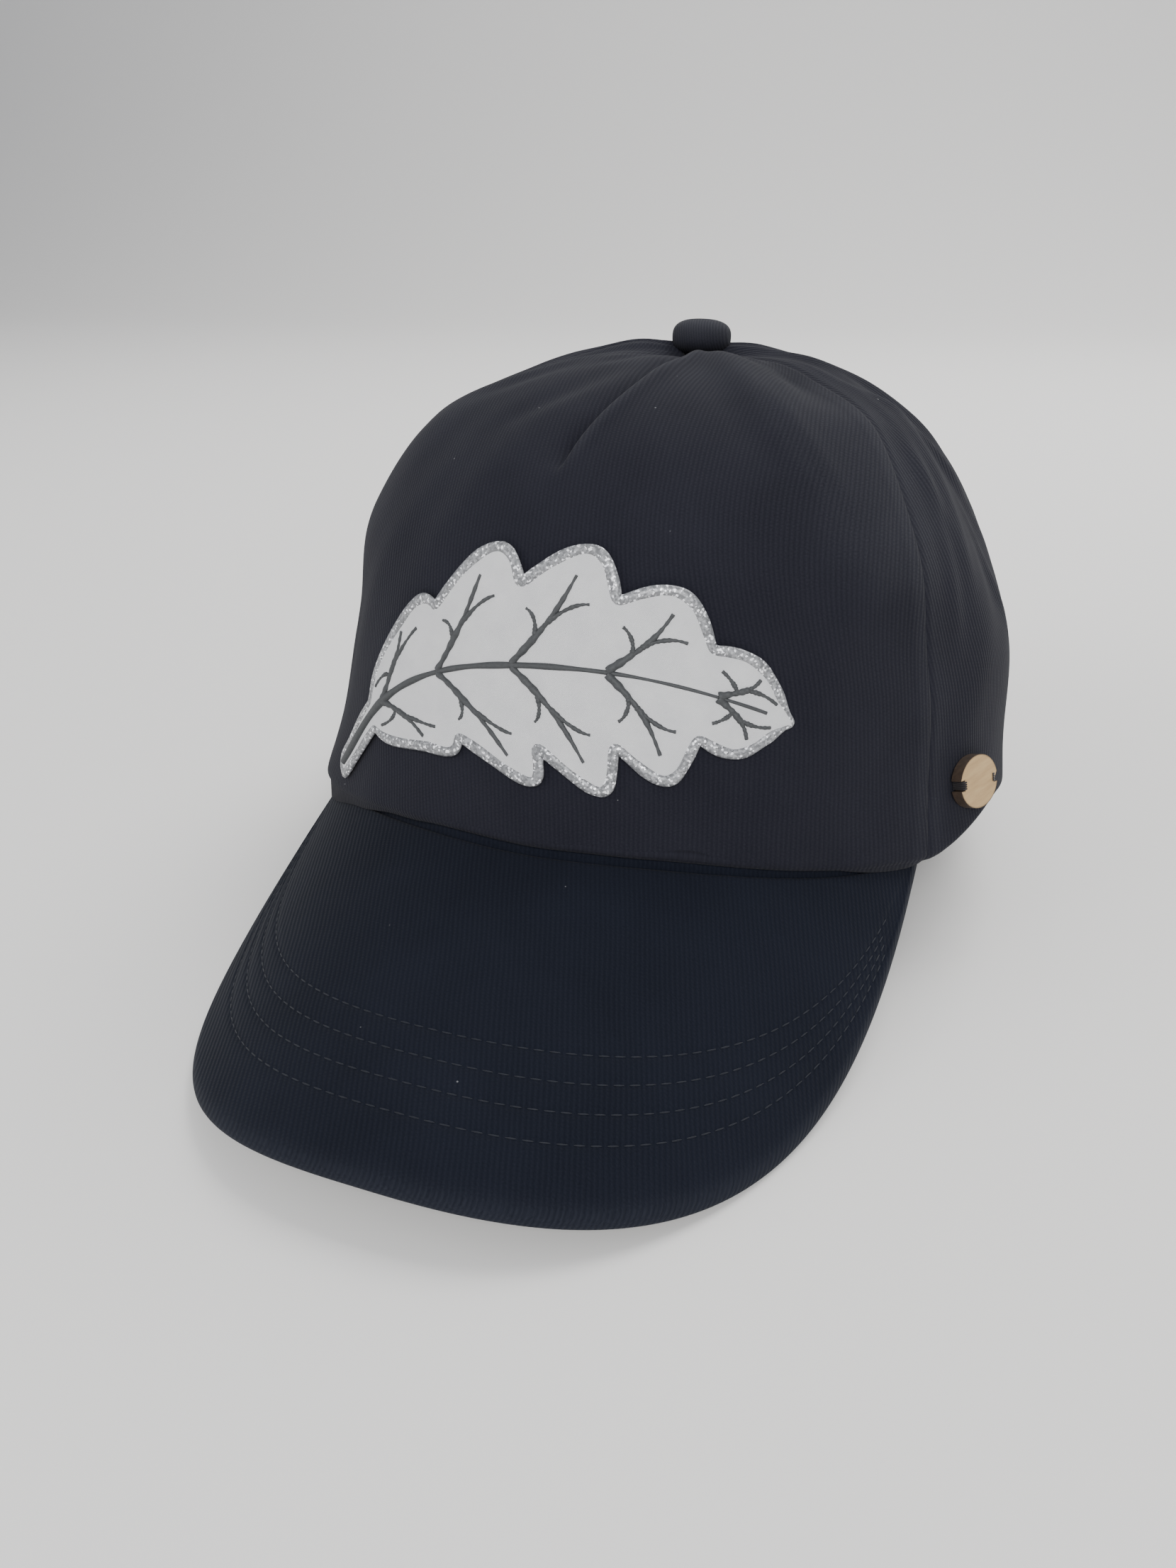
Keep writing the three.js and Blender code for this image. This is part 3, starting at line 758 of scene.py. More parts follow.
# %% Panel sizes
PANELS = [
    {"name": "front_panel", "from": -61.0, "to": 61.0, "columns": 220, "spans": 2},
    {"name": "left_side_panel", "from": 61.0, "to": 121.0, "columns": 104, "spans": 1},
    {"name": "left_back_panel", "from": 121.0, "to": 180.0, "columns": 104, "spans": 1},
    {"name": "right_back_panel", "from": 180.0, "to": 239.0, "columns": 104, "spans": 1},
    {"name": "right_side_panel", "from": 239.0, "to": 299.0, "columns": 104, "spans": 1},
]
PANEL_ROWS = 150
ROW_EASE = 1.25
SEAM_LAP = 0.12
EDGE_CROWDING = 0.45
ARCH_HALF_WIDTH = 33.0
ARCH_HEIGHT = 46.0
ARCH_SPRINGING = RIM_SIDE_HEIGHT + ARCH_HEIGHT - ARCH_HALF_WIDTH
ARCH_SHARES = np.linspace(0, 0.7, 141)
ARCH_ROUNDS = 6
FAR_OUTSIDE = -1000.0
print("panels:", [panel["name"] for panel in PANELS])


# %% The arch in the back
def inside_arch(points):
    """How far worn points lie inside the arch's outline; negative outside it."""
    x, z = points[..., 0], points[..., 2]
    round_top = ARCH_HALF_WIDTH - np.hypot(x, np.maximum(z - ARCH_SPRINGING, 0))
    return np.where(points[..., 1] > 0, round_top, FAR_OUTSIDE)


def back_place(x, z):
    """The azimuth and share of the crown's back where it has this x and height, found in rounds."""
    share = np.clip((z - RIM_SIDE_HEIGHT) / CROWN_HEIGHT, 0, ARCH_SHARES[-1])
    for _ in range(ARCH_ROUNDS):
        azimuth = 180 - np.degrees(np.arcsin(np.clip(x / along_sections("side", share), -1, 1)))
        heights = crown(azimuth[:, None], ARCH_SHARES[None, :])[..., 2]
        share = np.array([np.interp(height, row, ARCH_SHARES) for height, row in zip(z, heights)])
    return azimuth, share


def onto_arch(points):
    """The nearest places on the arch's outline."""
    x, z = points[:, 0], points[:, 2]
    rise = np.maximum(z - ARCH_SPRINGING, 0)
    reach = np.hypot(x, rise)
    across = x / reach * ARCH_HALF_WIDTH
    up = np.where(z > ARCH_SPRINGING, ARCH_SPRINGING + rise / reach * ARCH_HALF_WIDTH, z)
    return across, up


print("the arch turns round from", round(ARCH_SPRINGING, 1), "mm up")


# %% Sewing the panels
def crowded(across, spans):
    """Moves columns towards both ends of each span."""
    span = np.minimum(np.floor(across * spans), spans - 1)
    inside = across * spans - span
    eased = EDGE_CROWDING * (1 - np.cos(math.pi * inside)) / 2
    return (span + (1 - EDGE_CROWDING) * inside + eased) / spans


def panel_grid(panel):
    """A grid for a panel, with where its corners go on the crown and where they lay flat."""
    made, across, up = grid(panel["columns"], PANEL_ROWS)
    share = CROWN_TOP * up**ROW_EASE
    lap = np.degrees(SEAM_LAP / crown_radius(panel["from"], share))
    first, last = panel["from"] - lap, panel["to"] + lap
    azimuth = first + (last - first) * crowded(across, panel["spans"])
    middle = (panel["from"] + panel["to"]) / 2
    return made, azimuth, share, flat_cut(azimuth, share, middle)


def open_arch(made, azimuth, share):
    """Draws the corners along the cut onto the arch's outline and returns the faces inside it."""
    points = cloth(azimuth, share)
    depth = inside_arch(points)
    gone = [face for face in made.faces if np.mean([depth[corner.index] for corner in face.verts]) > 0]
    touched = {corner for face in gone for corner in face.verts}
    kept = set(made.faces) - set(gone)
    index = np.array([corner.index for corner in touched if not kept.isdisjoint(corner.link_faces)])
    azimuth[index], share[index] = back_place(*onto_arch(points[index]))
    return gone


def sewn_panel(panel):
    """Bends a panel's grid onto the crown, opens the arch in it and gives it a wall."""
    made, azimuth, share, flat = panel_grid(panel)
    gone = open_arch(made, azimuth, share) if "back" in panel["name"] else []
    bend(made, cloth(azimuth, share), flat, crown_wear(azimuth, share))
    bmesh.ops.delete(made, geom=gone, context="FACES")
    bmesh.ops.solidify(made, geom=made.faces[:], thickness=CLOTH * MILLIMETRE)
    piece = finished_object("cloth_" + panel["name"], made)
    dressed(piece, crown_twill, "twill", panel["name"])


for panel in PANELS:
    sewn_panel(panel)

# %% [markdown]
# ## The peak
# A peak is a stiff board with cloth drawn tightly round it. One grid goes all the way round: along the
# top, over the rounded front edge and back underneath. Rows of stitching hold the cloth to the board,
# so the cloth sinks a little along each row and puffs between them. Where the peak is sewn to the
# crown, it sinks deeper.

# %% The peak's section
PEAK_PROFILE = {"top": 150, "edge": 12, "under": 24}
PEAK_STITCH_ROWS = [0.604, 0.678, 0.752, 0.828]
PEAK_STITCH_PULL = 0.38
PEAK_STITCH_HALF_WIDTH = 0.8
PEAK_STITCH_SWEEP = 0.90
PEAK_EDGE_WEAR = 0.35
JOINT_FURROW = {"depth": 1.5, "half_width": 0.8, "inside": 0.3}


def peak_relief(across, along, length):
    """Stitch furrows on the peak's upper side, and a deeper one where it goes under the hem."""
    pull = sum(bell((along - row) * length, PEAK_STITCH_HALF_WIDTH) for row in PEAK_STITCH_ROWS)
    stitched = PEAK_STITCH_PULL * pull * (1 - smooth_step(np.abs(across), PEAK_STITCH_SWEEP, 1.0))
    from_joint = along * length - PEAK_TUCK + JOINT_FURROW["inside"]
    return -stitched - JOINT_FURROW["depth"] * bell(from_joint, JOINT_FURROW["half_width"])


def peak_length(across):
    """How far it is from the tucked edge to the front edge, seen from above."""
    inner, outer = peak_edges(across)
    return np.linalg.norm(outer - inner, axis=-1)


def peak_surface(across, along, drop, beyond=0.0):
    """A worn point of the peak: along from the tucked edge to the front, dropped below the top."""
    inner, outer = peak_edges(across)
    at = inner + (outer - inner) * (along + beyond / peak_length(across))[..., None]
    x, y = at[..., 0], at[..., 1]
    return np.stack([x, y, peak_top(x, y) - drop], axis=-1)


def peak_profile(across, along_profile):
    """Follows the peak's section: over the top, round the edge and back below."""
    total = sum(PEAK_PROFILE.values())
    top_ends = PEAK_PROFILE["top"] / total
    edge_ends = top_ends + PEAK_PROFILE["edge"] / total
    radius = PEAK_THICK / 2
    flat_along = 1 - radius / peak_length(across)
    on_top = np.clip(along_profile / top_ends, 0, 1)
    round_edge = np.clip((along_profile - top_ends) / (edge_ends - top_ends), 0, 1) * math.pi
    below = np.clip((along_profile - edge_ends) / (1 - edge_ends), 0, 1)
    along = flat_along * (on_top - below)
    drop = radius * (1 - np.cos(round_edge))
    relief = peak_relief(across, along, peak_length(across)) * (below <= 0)
    point = peak_surface(across, along, drop - relief, radius * np.sin(round_edge))
    forward = -point[:, 1] / math.cos(math.radians(PEAK_SLOPE))
    flat = np.stack([point[:, 0], forward - 2 * drop], axis=-1)
    edge_wear = bell((along_profile - (top_ends + edge_ends) / 2) * total, PEAK_PROFILE["edge"] / 2)
    return point, flat, PEAK_EDGE_WEAR * edge_wear


print("depth of the peak in front:", peak_length(np.array([0.0])).round(1), "mm")

# %% Peak
PEAK_COLUMNS = 240
NEAR = 1e-6


def end_row(made, up, end):
    """The open edges along one end of a bent grid."""
    at_end = np.abs(up - end) < NEAR
    open_edges = [edge for edge in made.edges if edge.is_boundary]
    return [edge for edge in open_edges if all(at_end[corner.index] for corner in edge.verts)]


made, across, up = grid(PEAK_COLUMNS, sum(PEAK_PROFILE.values()))
bend(made, *peak_profile(2 * across - 1, up))
bmesh.ops.bridge_loops(made, edges=end_row(made, up, 0) + end_row(made, up, 1))
bmesh.ops.holes_fill(made, edges=[edge for edge in made.edges if edge.is_boundary])
bmesh.ops.recalc_face_normals(made, faces=made.faces[:])
dressed(finished_object("cloth_peak", made), peak_twill, "peak_twill", "peak")

# %% [markdown]
# ## Stitches
# Sewing shows as short raised threads in a line, each dipping into the cloth at its ends. One small
# rounded bar is made and repeated along every row, all in one mesh, so that hundreds of stitches stay
# light.


# %% Rows of stitches
STITCH_DIP = 0.5


def stitch_bar():
    """One stitch, lying along X between -1 and 1, and its faces."""
    made = bmesh.new()
    bmesh.ops.create_uvsphere(made, u_segments=6, v_segments=5, radius=1.0)
    bmesh.ops.rotate(made, matrix=Matrix.Rotation(math.pi / 2, 3, "Y"), verts=made.verts[:])
    corners = np.array([corner.co[:] for corner in made.verts])
    corners[:, 2] -= STITCH_DIP * corners[:, 0] ** 2
    faces = [[corner.index for corner in face.verts] for face in made.faces]
    made.free()
    return corners, faces


BAR, BAR_FACES = stitch_bar()
print("one stitch:", len(BAR_FACES), "faces")


def read_along(walked, values, distances):
    """Values of a path's points, read at distances walked along it."""
    return np.stack([np.interp(distances, walked, values[:, axis]) for axis in range(3)], axis=-1)


def stitches(name, runs, length, space, radius):
    """Sews along worn paths. Each run is its points and the cloth's outward directions there."""
    corners, faces = [], []
    for points, normals in runs:
        walked = np.concatenate([[0], np.cumsum(np.linalg.norm(np.diff(points, axis=0), axis=1))])
        middles = np.arange(length / 2, walked[-1] - length / 2, length + space)
        ends = [read_along(walked, points, middles + step) for step in (-length / 2, length / 2)]
        ahead = unit(ends[1] - ends[0])
        out = unit(read_along(walked, normals, middles))
        aside = np.cross(out, ahead)
        places = read_along(walked, points, middles)
        for middle, forward, sideways, upward in zip(places, ahead, aside, out):
            bar = BAR * (length / 2, radius, radius)
            faces.extend([[index + len(corners) * len(BAR) for index in face] for face in BAR_FACES])
            corners.append(middle + bar @ np.stack([forward, sideways, upward]))
    mesh = bpy.data.meshes.new(name)
    mesh.from_pydata(on_table(np.concatenate(corners)), [], faces)
    mesh.polygons.foreach_set("use_smooth", [True] * len(mesh.polygons))
    print(name, len(corners), "stitches")
    return linked(name, mesh)


# %% Stitches on the peak
PEAK_STITCH = {"length": 2.2, "space": 0.9, "radius": 0.14}
PEAK_STITCH_PROUD = 0.06
PEAK_ROW_POINTS = 400
STEP_INWARDS = 0.01


def peak_row(row):
    """One row's path across the peak, and the peak's upward directions there."""
    across = np.linspace(-PEAK_STITCH_SWEEP, PEAK_STITCH_SWEEP, PEAK_ROW_POINTS)
    along = np.full_like(across, row)
    path = peak_surface(across, along, PEAK_STITCH_PULL - PEAK_STITCH_PROUD)
    ahead = np.gradient(path, axis=0)
    inwards = peak_surface(across, along - STEP_INWARDS, 0.0) - path
    return path, unit(np.cross(inwards, ahead))


peak_stitches = stitches("peak_stitches", [peak_row(row) for row in PEAK_STITCH_ROWS], **PEAK_STITCH)
dressed(peak_stitches, navy_thread, "peak_twill")

# %% [markdown]
# ## Button
# The button is a small shell with twill drawn over it. Its side is a half circle made squarer, which is
# spun round into a low pill. A ball pressed flat would do too, but its side would bulge. The cloth's
# pull leaves very shallow pleats round the side, and its ribs are finer than the panels'.

# %% Button
BUTTON_RADIUS = 7.7
BUTTON_HEIGHT = 5.7
BUTTON_FOOT = -3.2
BUTTON_SQUARENESS = 2.7
BUTTON_SIDES, BUTTON_PROFILE_POINTS, BUTTON_WELD = 96, 37, 1e-4
BUTTON_PLEATS, BUTTON_PLEAT_DEPTH, BUTTON_PLEATS_START = 22, 0.03, 0.55
BUTTON_WEAR, BUTTON_WORN_FROM = 0.8, 0.8
BUTTON_WEAVE = 1.6


def button_profile(turn):
    """Radius and height of the button's side, for a turn from its foot to its top."""
    power = 2 / BUTTON_SQUARENESS
    half_height = (BUTTON_HEIGHT - BUTTON_FOOT) / 2
    rise = math.copysign(abs(math.sin(turn)) ** power, turn)
    return BUTTON_RADIUS * abs(math.cos(turn)) ** power, BUTTON_FOOT + half_height + half_height * rise


turns = np.linspace(-math.pi / 2, math.pi / 2, BUTTON_PROFILE_POINTS)[1:-1]
profile = [(0.0, BUTTON_FOOT), *(button_profile(turn) for turn in turns), (0.0, BUTTON_HEIGHT)]
made = bmesh.new()
corners = [made.verts.new((radius, 0, height)) for radius, height in profile]
edges = [made.edges.new(pair) for pair in zip(corners, corners[1:])]
bmesh.ops.spin(
    made,
    geom=corners + edges,
    cent=(0, 0, 0),
    axis=(0, 0, 1),
    angle=2 * math.pi,
    steps=BUTTON_SIDES,
    use_merge=True,
)
bmesh.ops.remove_doubles(made, verts=made.verts[:], dist=BUTTON_WELD)
bmesh.ops.recalc_face_normals(made, faces=made.faces[:])
made.verts.index_update()
points = np.array([corner.co[:] for corner in made.verts])
radius = np.hypot(points[:, 0], points[:, 1])
turn = np.arctan2(points[:, 1], points[:, 0])
pleated = smooth_step(radius, BUTTON_PLEATS_START * BUTTON_RADIUS, BUTTON_RADIUS)
pleat = BUTTON_PLEAT_DEPTH * np.cos(BUTTON_PLEATS * turn) * pleated
points[:, :2] *= (1 - pleat / np.maximum(radius, 1))[:, None]
seat = np.array([BUTTON_ASIDE, BUTTON_LEAN, CROWN_HEIGHT + GAP])
flat = BUTTON_WEAVE * np.stack([points[:, 0], points[:, 1] + points[:, 2]], axis=-1)
button_wear = BUTTON_WEAR * smooth_step(points[:, 2], BUTTON_FOOT, BUTTON_WORN_FROM * BUTTON_HEIGHT)
bend(made, points + seat, flat, button_wear)
dressed(finished_object("covered_button", made), crown_twill, "twill", "top_button")

# %% [markdown]
# ## Leaf patch
# The patch is white cotton cut as a lobed leaf, edged with a flat line of glitter and drawn over in
# dark grey. The leaf is a grid along a curved midrib, whose cross lines lean towards the tip as veins
# do, so the veins and the edge are just lines of the same grid.

# %% Leaf sizes
LEAF_STEM = np.array([-67.0, 9.0])
LEAF_BEND = np.array([-20.0, 54.0])
LEAF_TIP = np.array([56.0, 31.0])
LEAF_HALF_WIDTH = 25.0
LEAF_LOBES = 5
LEAF_LOBE_DEPTH = 0.34
LEAF_VEIN_LEAN = math.tan(math.radians(36))
LEAF_STALK = 0.16
LEAF_STALK_HALF_WIDTH = 2.8
LEAF_TIP_HALF_WIDTH = 0.6
LEAF_SWELL, LEAF_FULLNESS = 0.75, 0.8
LEAF_THICK, LEAF_PUFF = 1.0, 0.3
LEAF_STALK_COLUMNS, LEAF_LOBE_COLUMNS = 4, 8
LEAF_COLUMNS = LEAF_STALK_COLUMNS + LEAF_LOBE_COLUMNS * LEAF_LOBES
LEAF_FINER = 6
LEAF_ROWS = 40
LEAF_WRAP_RADIUS = 92.0
LEAF_TOP_SECTION = 2
LEAF_STALK_END = LEAF_STALK_COLUMNS / LEAF_COLUMNS
print("leaf from stem to tip:", np.linalg.norm(LEAF_TIP - LEAF_STEM).round(1), "mm")


# %% The leaf's flat cut and its place on the panel
def leaf_half_width(blade):
    """Half the leaf's width, for a share of the blade from the stalk's end to the tip."""
    stalk = LEAF_STALK_HALF_WIDTH + (LEAF_TIP_HALF_WIDTH - LEAF_STALK_HALF_WIDTH) * blade
    body = np.maximum(np.sin(math.pi * blade**LEAF_SWELL), 0) ** LEAF_FULLNESS
    notch = 1 - np.abs(np.sin(math.pi * LEAF_LOBES * blade))
    return np.maximum(stalk, LEAF_HALF_WIDTH * body * (1 - LEAF_LOBE_DEPTH * notch))


def leaf_flat(along, across):
    """A point of the flat leaf: along from stem to tip, across from -1 to 1."""
    blade = np.maximum(along - LEAF_STALK_END, 0) / (1 - LEAF_STALK_END)
    share = (LEAF_STALK * np.minimum(along / LEAF_STALK_END, 1) + (1 - LEAF_STALK) * blade)[..., None]
    midrib = (1 - share) ** 2 * LEAF_STEM + 2 * share * (1 - share) * LEAF_BEND + share**2 * LEAF_TIP
    tangent = unit((1 - share) * (LEAF_BEND - LEAF_STEM) + share * (LEAF_TIP - LEAF_BEND))
    reach = leaf_half_width(blade) * across
    lean = np.abs(reach) * LEAF_VEIN_LEAN * smooth_step(blade, 0, 1 / LEAF_LOBES / 2)
    sideways = np.stack([-tangent[..., 1], tangent[..., 0]], axis=-1)
    return midrib + tangent * lean[..., None] + sideways * reach[..., None]


def leaf_place(flat):
    """The azimuth and share of a flat point on the front panel."""
    top_height = SECTIONS["rise"][LEAF_TOP_SECTION] * CROWN_HEIGHT
    top_share = LEAF_TOP_SECTION / (len(SECTIONS["rise"]) - 1)
    return np.degrees(flat[..., 0] / LEAF_WRAP_RADIUS), top_share * flat[..., 1] / top_height


def on_leaf(along, across, proud):
    """A worn point of the leaf, proud of the panel by some millimetres."""
    along, across = np.broadcast_arrays(np.asarray(along, dtype=float), np.asarray(across, dtype=float))
    azimuth, share = leaf_place(leaf_flat(along, across))
    return cloth(azimuth, share, proud)


def leaf_face(across):
    """How proud the patch's face is: it puffs up a little between its edges."""
    return GAP + LEAF_THICK + LEAF_PUFF * (1 - across**4)


print("leaf's tip, azimuth and share:", [float(value.round(3)) for value in leaf_place(LEAF_TIP)])

# %% White cotton
COTTON_THREAD = 0.42


def white_cotton():
    """Plain-woven cotton, a little grey, with soft shadows of handling."""
    finish = Finish("white_cotton", {"Sheen Weight": 0.15, "Specular IOR Level": 0.25})
    flat, across, up = finish.flat()
    warp, weft = ((way * (2 * math.pi / COTTON_THREAD)).math("SINE") for way in (across, up))
    weave = warp * weft * 0.5 + 0.5
    grey = finish.noise(flat, 0.16, 4.0)
    colour = finish.mixed(weave * 0.25 + grey * 0.6, (0.52, 0.52, 0.54, 1), (0.78, 0.78, 0.77, 1))
    return finish.show(
        Base_Color=colour,
        Roughness=0.85 - weave * 0.1,
        Normal=finish.bump(weave + grey, 0.00012, 0.5),
    )


made, along, across = grid(LEAF_COLUMNS * LEAF_FINER, LEAF_ROWS)
across = 2 * across - 1
unworn = np.zeros_like(along)
bend(made, on_leaf(along, across, leaf_face(across)), leaf_flat(along, across), unworn)
bmesh.ops.solidify(made, geom=made.faces[:], thickness=LEAF_THICK * MILLIMETRE)
dressed(finished_object("leaf_cotton", made), white_cotton(), "pale_cloth", "leaf_patch")


# %% Lines drawn on cloth
def drawn_lines(name, lines, radius, closed=False):
    """Raised lines along worn paths. Each line is its points and how thick it is at each of them."""
    curve = bpy.data.curves.new(name, "CURVE")
    curve.dimensions = "3D"
    curve.bevel_depth = radius * MILLIMETRE
    curve.bevel_resolution = 3
    curve.use_fill_caps = True
    for points, thickness in lines:
        spline = curve.splines.new("POLY")
        spline.points.add(len(points) - 1)
        spline.use_cyclic_u = closed
        for knot, place, share in zip(spline.points, on_table(points), thickness):
            knot.co = (*place, 1)
            knot.radius = share
    drawing = bpy.data.objects.new(name + "_curve", curve)
    bpy.context.collection.objects.link(drawing)
    bpy.context.view_layer.update()
    evaluated = drawing.evaluated_get(bpy.context.evaluated_depsgraph_get())
    mesh = bpy.data.meshes.new_from_object(evaluated)
    mesh.name = name
    bpy.data.objects.remove(drawing)
    bpy.data.curves.remove(curve)
    mesh.polygons.foreach_set("use_smooth", [True] * len(mesh.polygons))
    return linked(name, mesh)


# %% Glitter
def glitter():
    """Silver flakes in clear glue: each small cell has its own brightness and tilt, and the brightest cells
    are painted near white as painted sparkle.
    """
    finish = Finish("silver_glitter", {"Specular IOR Level": 0.6, "Coat Roughness": 0.15})
    place = finish.place()
    cells = {"Vector": place, "Scale": 2300.0, "Randomness": 1.0}
    flake = finish.node("ShaderNodeTexVoronoi", "Color", {"feature": "F1"}, cells)
    chance = finish.node("ShaderNodeSeparateColor", "Red", {}, {0: flake})
    tilt = finish.node("ShaderNodeSeparateColor", "Green", {}, {0: flake})
    # Painted sparkle: the brightest cells get a near-white colour and a coat, standing for flakes that
    # catch the light.
    painted_sparkle = chance.math("GREATER_THAN", 0.86)
    colour = finish.mixed(chance**1.6, (0.17, 0.173, 0.18, 1), (0.47, 0.475, 0.49, 1))
    return finish.show(
        Base_Color=finish.mixed(painted_sparkle, colour, (0.97, 0.97, 1.0, 1)),
        Metallic=0.1 + tilt * 0.4,
        Roughness=0.25 + tilt * 0.3,
        Coat_Weight=painted_sparkle * 0.8,
        Normal=finish.bump(tilt, 0.00012, 0.5),
    )


silver_glitter = glitter()
print("glitter nodes:", len(silver_glitter.node_tree.nodes))


# %% Glitter along the edge
def pressed_flat(piece, points, normals, share):
    """Presses a raised line against the cloth under it, to a share of its height."""
    places = on_table(points)
    ups = unit(normals @ np.array(WORN.to_3x3()).T)
    tree = KDTree(len(places))
    for index, place in enumerate(places):
        tree.insert(place, index)
    tree.balance()
    for corner in piece.data.vertices:
        place, index, _ = tree.find(corner.co)
        up = Vector(ups[index])
        corner.co -= up * ((corner.co - place).dot(up) * (1 - share))


GLITTER_RADIUS = 1.25
GLITTER_FLATNESS = 0.5
GLITTER_PROUD = 0.8
GLITTER_SMOOTHING = 2
GLITTER_UNEVEN = 0.05
GLITTER_END = 0.6
GLITTER_TIP_FROM, GLITTER_TIP_THINNER = 0.95, 0.5

side = np.linspace(0.0, 1.0, LEAF_COLUMNS * LEAF_FINER)
end = np.linspace(-GLITTER_END, GLITTER_END, 4)
edge_along = np.concatenate([side, np.ones_like(end), side[::-1], np.zeros_like(end)])
edge_across = np.concatenate([-np.ones_like(side), end, np.ones_like(side), -end])
round_leaf = on_leaf(edge_along, edge_across, GAP + GLITTER_PROUD)
off_cloth = on_leaf(edge_along, edge_across, GAP + GLITTER_PROUD + 1) - round_leaf
shifts = range(-GLITTER_SMOOTHING, GLITTER_SMOOTHING + 1)
round_leaf = np.mean([np.roll(round_leaf, shift, axis=0) for shift in shifts], axis=0)
count = np.arange(len(round_leaf))
uneven = 1 + GLITTER_UNEVEN * np.sin(count * 0.43) + GLITTER_UNEVEN * np.sin(count * 0.17 + 1.0)
uneven = uneven * (1 - GLITTER_TIP_THINNER * smooth_step(edge_along, GLITTER_TIP_FROM, 1.0))
leaf_edge = drawn_lines("glitter_edge", [(round_leaf, uneven)], GLITTER_RADIUS, closed=True)
pressed_flat(leaf_edge, round_leaf, off_cloth, GLITTER_FLATNESS)
dressed(leaf_edge, silver_glitter, "pale_cloth")


# %% Grey paint
def grey_paint():
    """Dried paint with a fine, faintly shiny grain."""
    finish = Finish("grey_paint", {"Specular IOR Level": 0.4})
    place = finish.place()
    grain = finish.noise(place, 1500.0, 3.0)
    return finish.show(
        Base_Color=finish.mixed(grain, (0.028, 0.030, 0.032, 1), (0.090, 0.094, 0.097, 1)),
        Roughness=0.45 + grain * 0.3,
        Metallic=grain * 0.3,
        Normal=finish.bump(grain, 0.0002, 0.6),
    )


painted = grey_paint()
print("paint nodes:", len(painted.node_tree.nodes))

# %% Veins drawn on the leaf
VEIN_POINTS, VEIN_RADIUS, VEIN_SUNK = 60, 0.68, 0.1
MIDRIB_START, MIDRIB_LENGTH, MIDRIB_TAPER = 0.01, 0.95, (1.5, 0.5)
VEIN_START, VEIN_LENGTH, VEIN_TAPER = 0.02, 0.76, (1.25, 0.55)
VEIN_BEHIND, VEIN_BOW = 0.03, 0.012
TWIGS = [
    {"leaves": 0.28, "sway": -0.062, "reach": 0.56},
    {"leaves": 0.42, "sway": 0.056, "reach": 0.66},
]
TWIG_CURL, TWIG_TAPER = 1.4, (0.9, 0.5)


def leaf_line(along, across, start, stop):
    """A line on the leaf that tapers from one thickness to another."""
    count = np.arange(len(along))
    uneven = 1 + 0.1 * np.sin(count * 0.9) + 0.16 * np.sin(count * 0.23 + 9 * along[0])
    taper = np.linspace(start, stop, len(along)) * uneven
    return on_leaf(along, across, leaf_face(across) - VEIN_SUNK), taper


def blade_line(blade, across, taper):
    """A line placed by its share of the blade, without the stalk."""
    return leaf_line(LEAF_STALK_END + blade * (1 - LEAF_STALK_END), across, *taper)


def vein_along(middle, step):
    """A lobe's vein leaves the midrib behind the lobe's middle and bows forward to it."""
    return middle - VEIN_BEHIND * (1 - step) + VEIN_BOW * np.sin(math.pi * step)


steps = np.linspace(0, 1, VEIN_POINTS)
veins = [leaf_line(MIDRIB_START + MIDRIB_LENGTH * steps, np.zeros_like(steps), *MIDRIB_TAPER)]
for lobe in range(LEAF_LOBES):
    middle = (lobe + 0.5) / LEAF_LOBES
    for hand in (1, -1):
        across = hand * (VEIN_START + VEIN_LENGTH * steps)
        veins.append(blade_line(vein_along(middle, steps), across, VEIN_TAPER))
        for twig in TWIGS:
            foot = vein_along(middle, twig["leaves"])
            foot_across = VEIN_START + VEIN_LENGTH * twig["leaves"]
            blade = foot + (middle + twig["sway"] - foot) * steps**TWIG_CURL
            across = hand * (foot_across + (twig["reach"] - foot_across) * steps)
            veins.append(blade_line(blade, across, TWIG_TAPER))
leaf_veins = drawn_lines("drawn_veins", veins, VEIN_RADIUS)
dressed(leaf_veins, painted, "pale_cloth")

# %% [markdown]
# ## Wooden tag
# The tag is thin plywood cut by a hot beam: the face stays pale, the cut edge is scorched. The solid's
# own shape is right, so a copy of it is cleaned and its face is inset to carry a narrow scorched line.
# Dark thread holds it by a notch at each end.


# %% Wood
WOOD_GRAIN = (260.0, 60.0, 900.0)
TAG_WELD = 1e-5
TAG_LEVEL = math.radians(2)
TAG_SCORCH = 0.0004


def pale_wood():
    """Pale wood with long grain, burnt where the wear layer says so."""
    finish = Finish("pale_wood", {"Specular IOR Level": 0.3})
    place = finish.place()
    stretched = finish.node("ShaderNodeMapping", "Vector", {}, {"Vector": place, "Scale": WOOD_GRAIN})
    grain = finish.noise(stretched, 1.0, 5.0)
    fleck = finish.noise(place, 900.0, 3.0)
    char = finish.wear()
    wood = finish.mixed(grain * 1.2 - 0.1, (0.36, 0.225, 0.10, 1), (0.60, 0.425, 0.225, 1))
    burnt = finish.mixed(fleck, (0.012, 0.009, 0.007, 1), (0.07, 0.045, 0.03, 1))
    return finish.show(
        Base_Color=finish.mixed(char**1.3, wood, burnt),
        Roughness=0.5 + grain * 0.25,
        Normal=finish.bump(grain + fleck * 0.4, 0.0002, 0.5),
    )


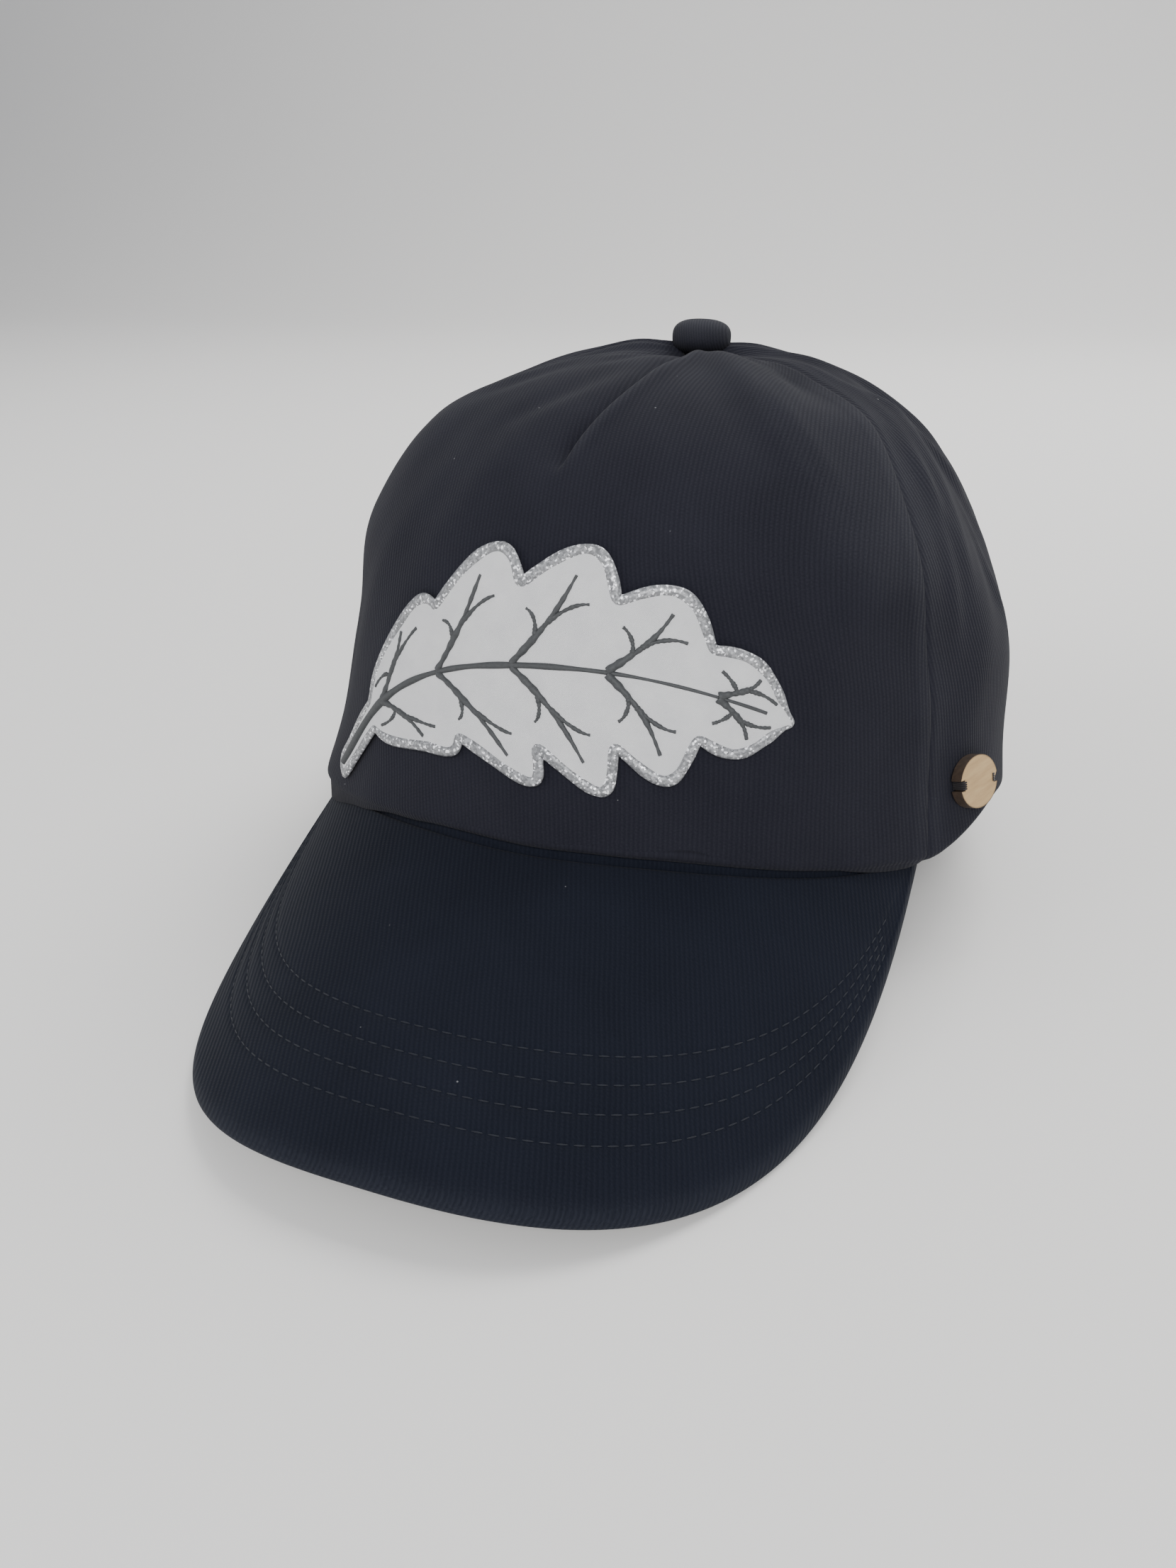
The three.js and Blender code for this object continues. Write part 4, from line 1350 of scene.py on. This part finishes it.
made = bmesh.new()
made.from_mesh(frame["nodes"]["wood_tag"].data)
bmesh.ops.remove_doubles(made, verts=made.verts[:], dist=TAG_WELD)
bmesh.ops.dissolve_limit(made, angle_limit=TAG_LEVEL, verts=made.verts[:], edges=made.edges[:])
char_layer = made.verts.layers.float.new("wear")
for corner in made.verts:
    corner[char_layer] = 1.0
made.normal_update()
front = max(made.faces, key=lambda face: face.calc_area() * face.normal.x)
bmesh.ops.inset_individual(made, faces=[front], thickness=TAG_SCORCH)
for corner in front.verts:
    corner[char_layer] = 0.0
tag_out, tag_middle = front.normal.copy(), front.calc_center_bounds()
bmesh.ops.triangulate(made, faces=[front])
dressed(finished_object("tag_wood", made), pale_wood(), "wood", "wood_tag")


# %% Thread that holds the tag
TAG_HALF_LENGTH = 8.5
TAG_NOTCH_DEPTH = 1.8
TAG_THICK = 2.5
TAG_STRANDS = (-0.75, -0.25, 0.25, 0.75)
TAG_THREAD_RADIUS = 0.22
TAG_THREAD_PATH = [(-0.5, 0.1), (0.1, 0.12), (0.3, -0.6), (0.3, -TAG_THICK - 0.4)]
from_worn = WORN.inverted()
tag_normal = np.array((from_worn.to_3x3() @ tag_out).normalized())
tag_across = unit(np.cross([0, 0, 1], tag_normal))
tag_up = np.cross(tag_normal, tag_across)
tag_centre = np.array(from_worn @ tag_middle)
strands = []
for hand in (1, -1):
    for strand in TAG_STRANDS:
        path = []
        for past_notch, proud in TAG_THREAD_PATH:
            reach = TAG_HALF_LENGTH - TAG_NOTCH_DEPTH + past_notch
            path.append(tag_centre + tag_across * hand * reach + tag_normal * proud + tag_up * strand)
        strands.append((np.array(path), np.ones(len(path))))
tag_thread = drawn_lines("tag_thread", strands, TAG_THREAD_RADIUS)
dark_thread = plain_thread("dark_thread", (0.006, 0.005, 0.006, 1), (0.03, 0.025, 0.028, 1))
dressed(tag_thread, dark_thread, "wood")

# %% [markdown]
# ## Strap
# The strap runs inside the back panels across the opening. It is a plain band of the same twill, with
# its ribs turned along it. A curve with a bevel could make it, but a grid bent with the crown's own
# formulas lies against the panels exactly.

# %% Strap
STRAP_HALF_SWEEP = 30.0
STRAP_SHARE = 0.112
STRAP_THICK = 1.8
STRAP_COLUMNS, STRAP_ROWS = 150, 24
STRAP_EDGE_WEAR, STRAP_WORN_SHARE = 0.5, 0.06

made, across, up = grid(STRAP_COLUMNS, STRAP_ROWS)
azimuth = 180 + STRAP_HALF_SWEEP * (2 * across - 1)
share = STRAP_SHARE * up
inside = hem(azimuth, share) - CLOTH - GAP
points = crown(azimuth, share) + outward(azimuth, share) * inside[:, None]
points[:, 2] = np.where(share <= 0, rim_height(azimuth, points[:, 0], points[:, 1]), points[:, 2])
edge_wear = STRAP_EDGE_WEAR * (bell(up, STRAP_WORN_SHARE) + bell(1 - up, STRAP_WORN_SHARE))
bend(made, points, flat_cut(azimuth, share, 180.0)[:, ::-1], edge_wear)
bmesh.ops.solidify(made, geom=made.faces[:], thickness=STRAP_THICK * MILLIMETRE)
dressed(finished_object("strap_band", made), crown_twill, "twill", "back_strap")
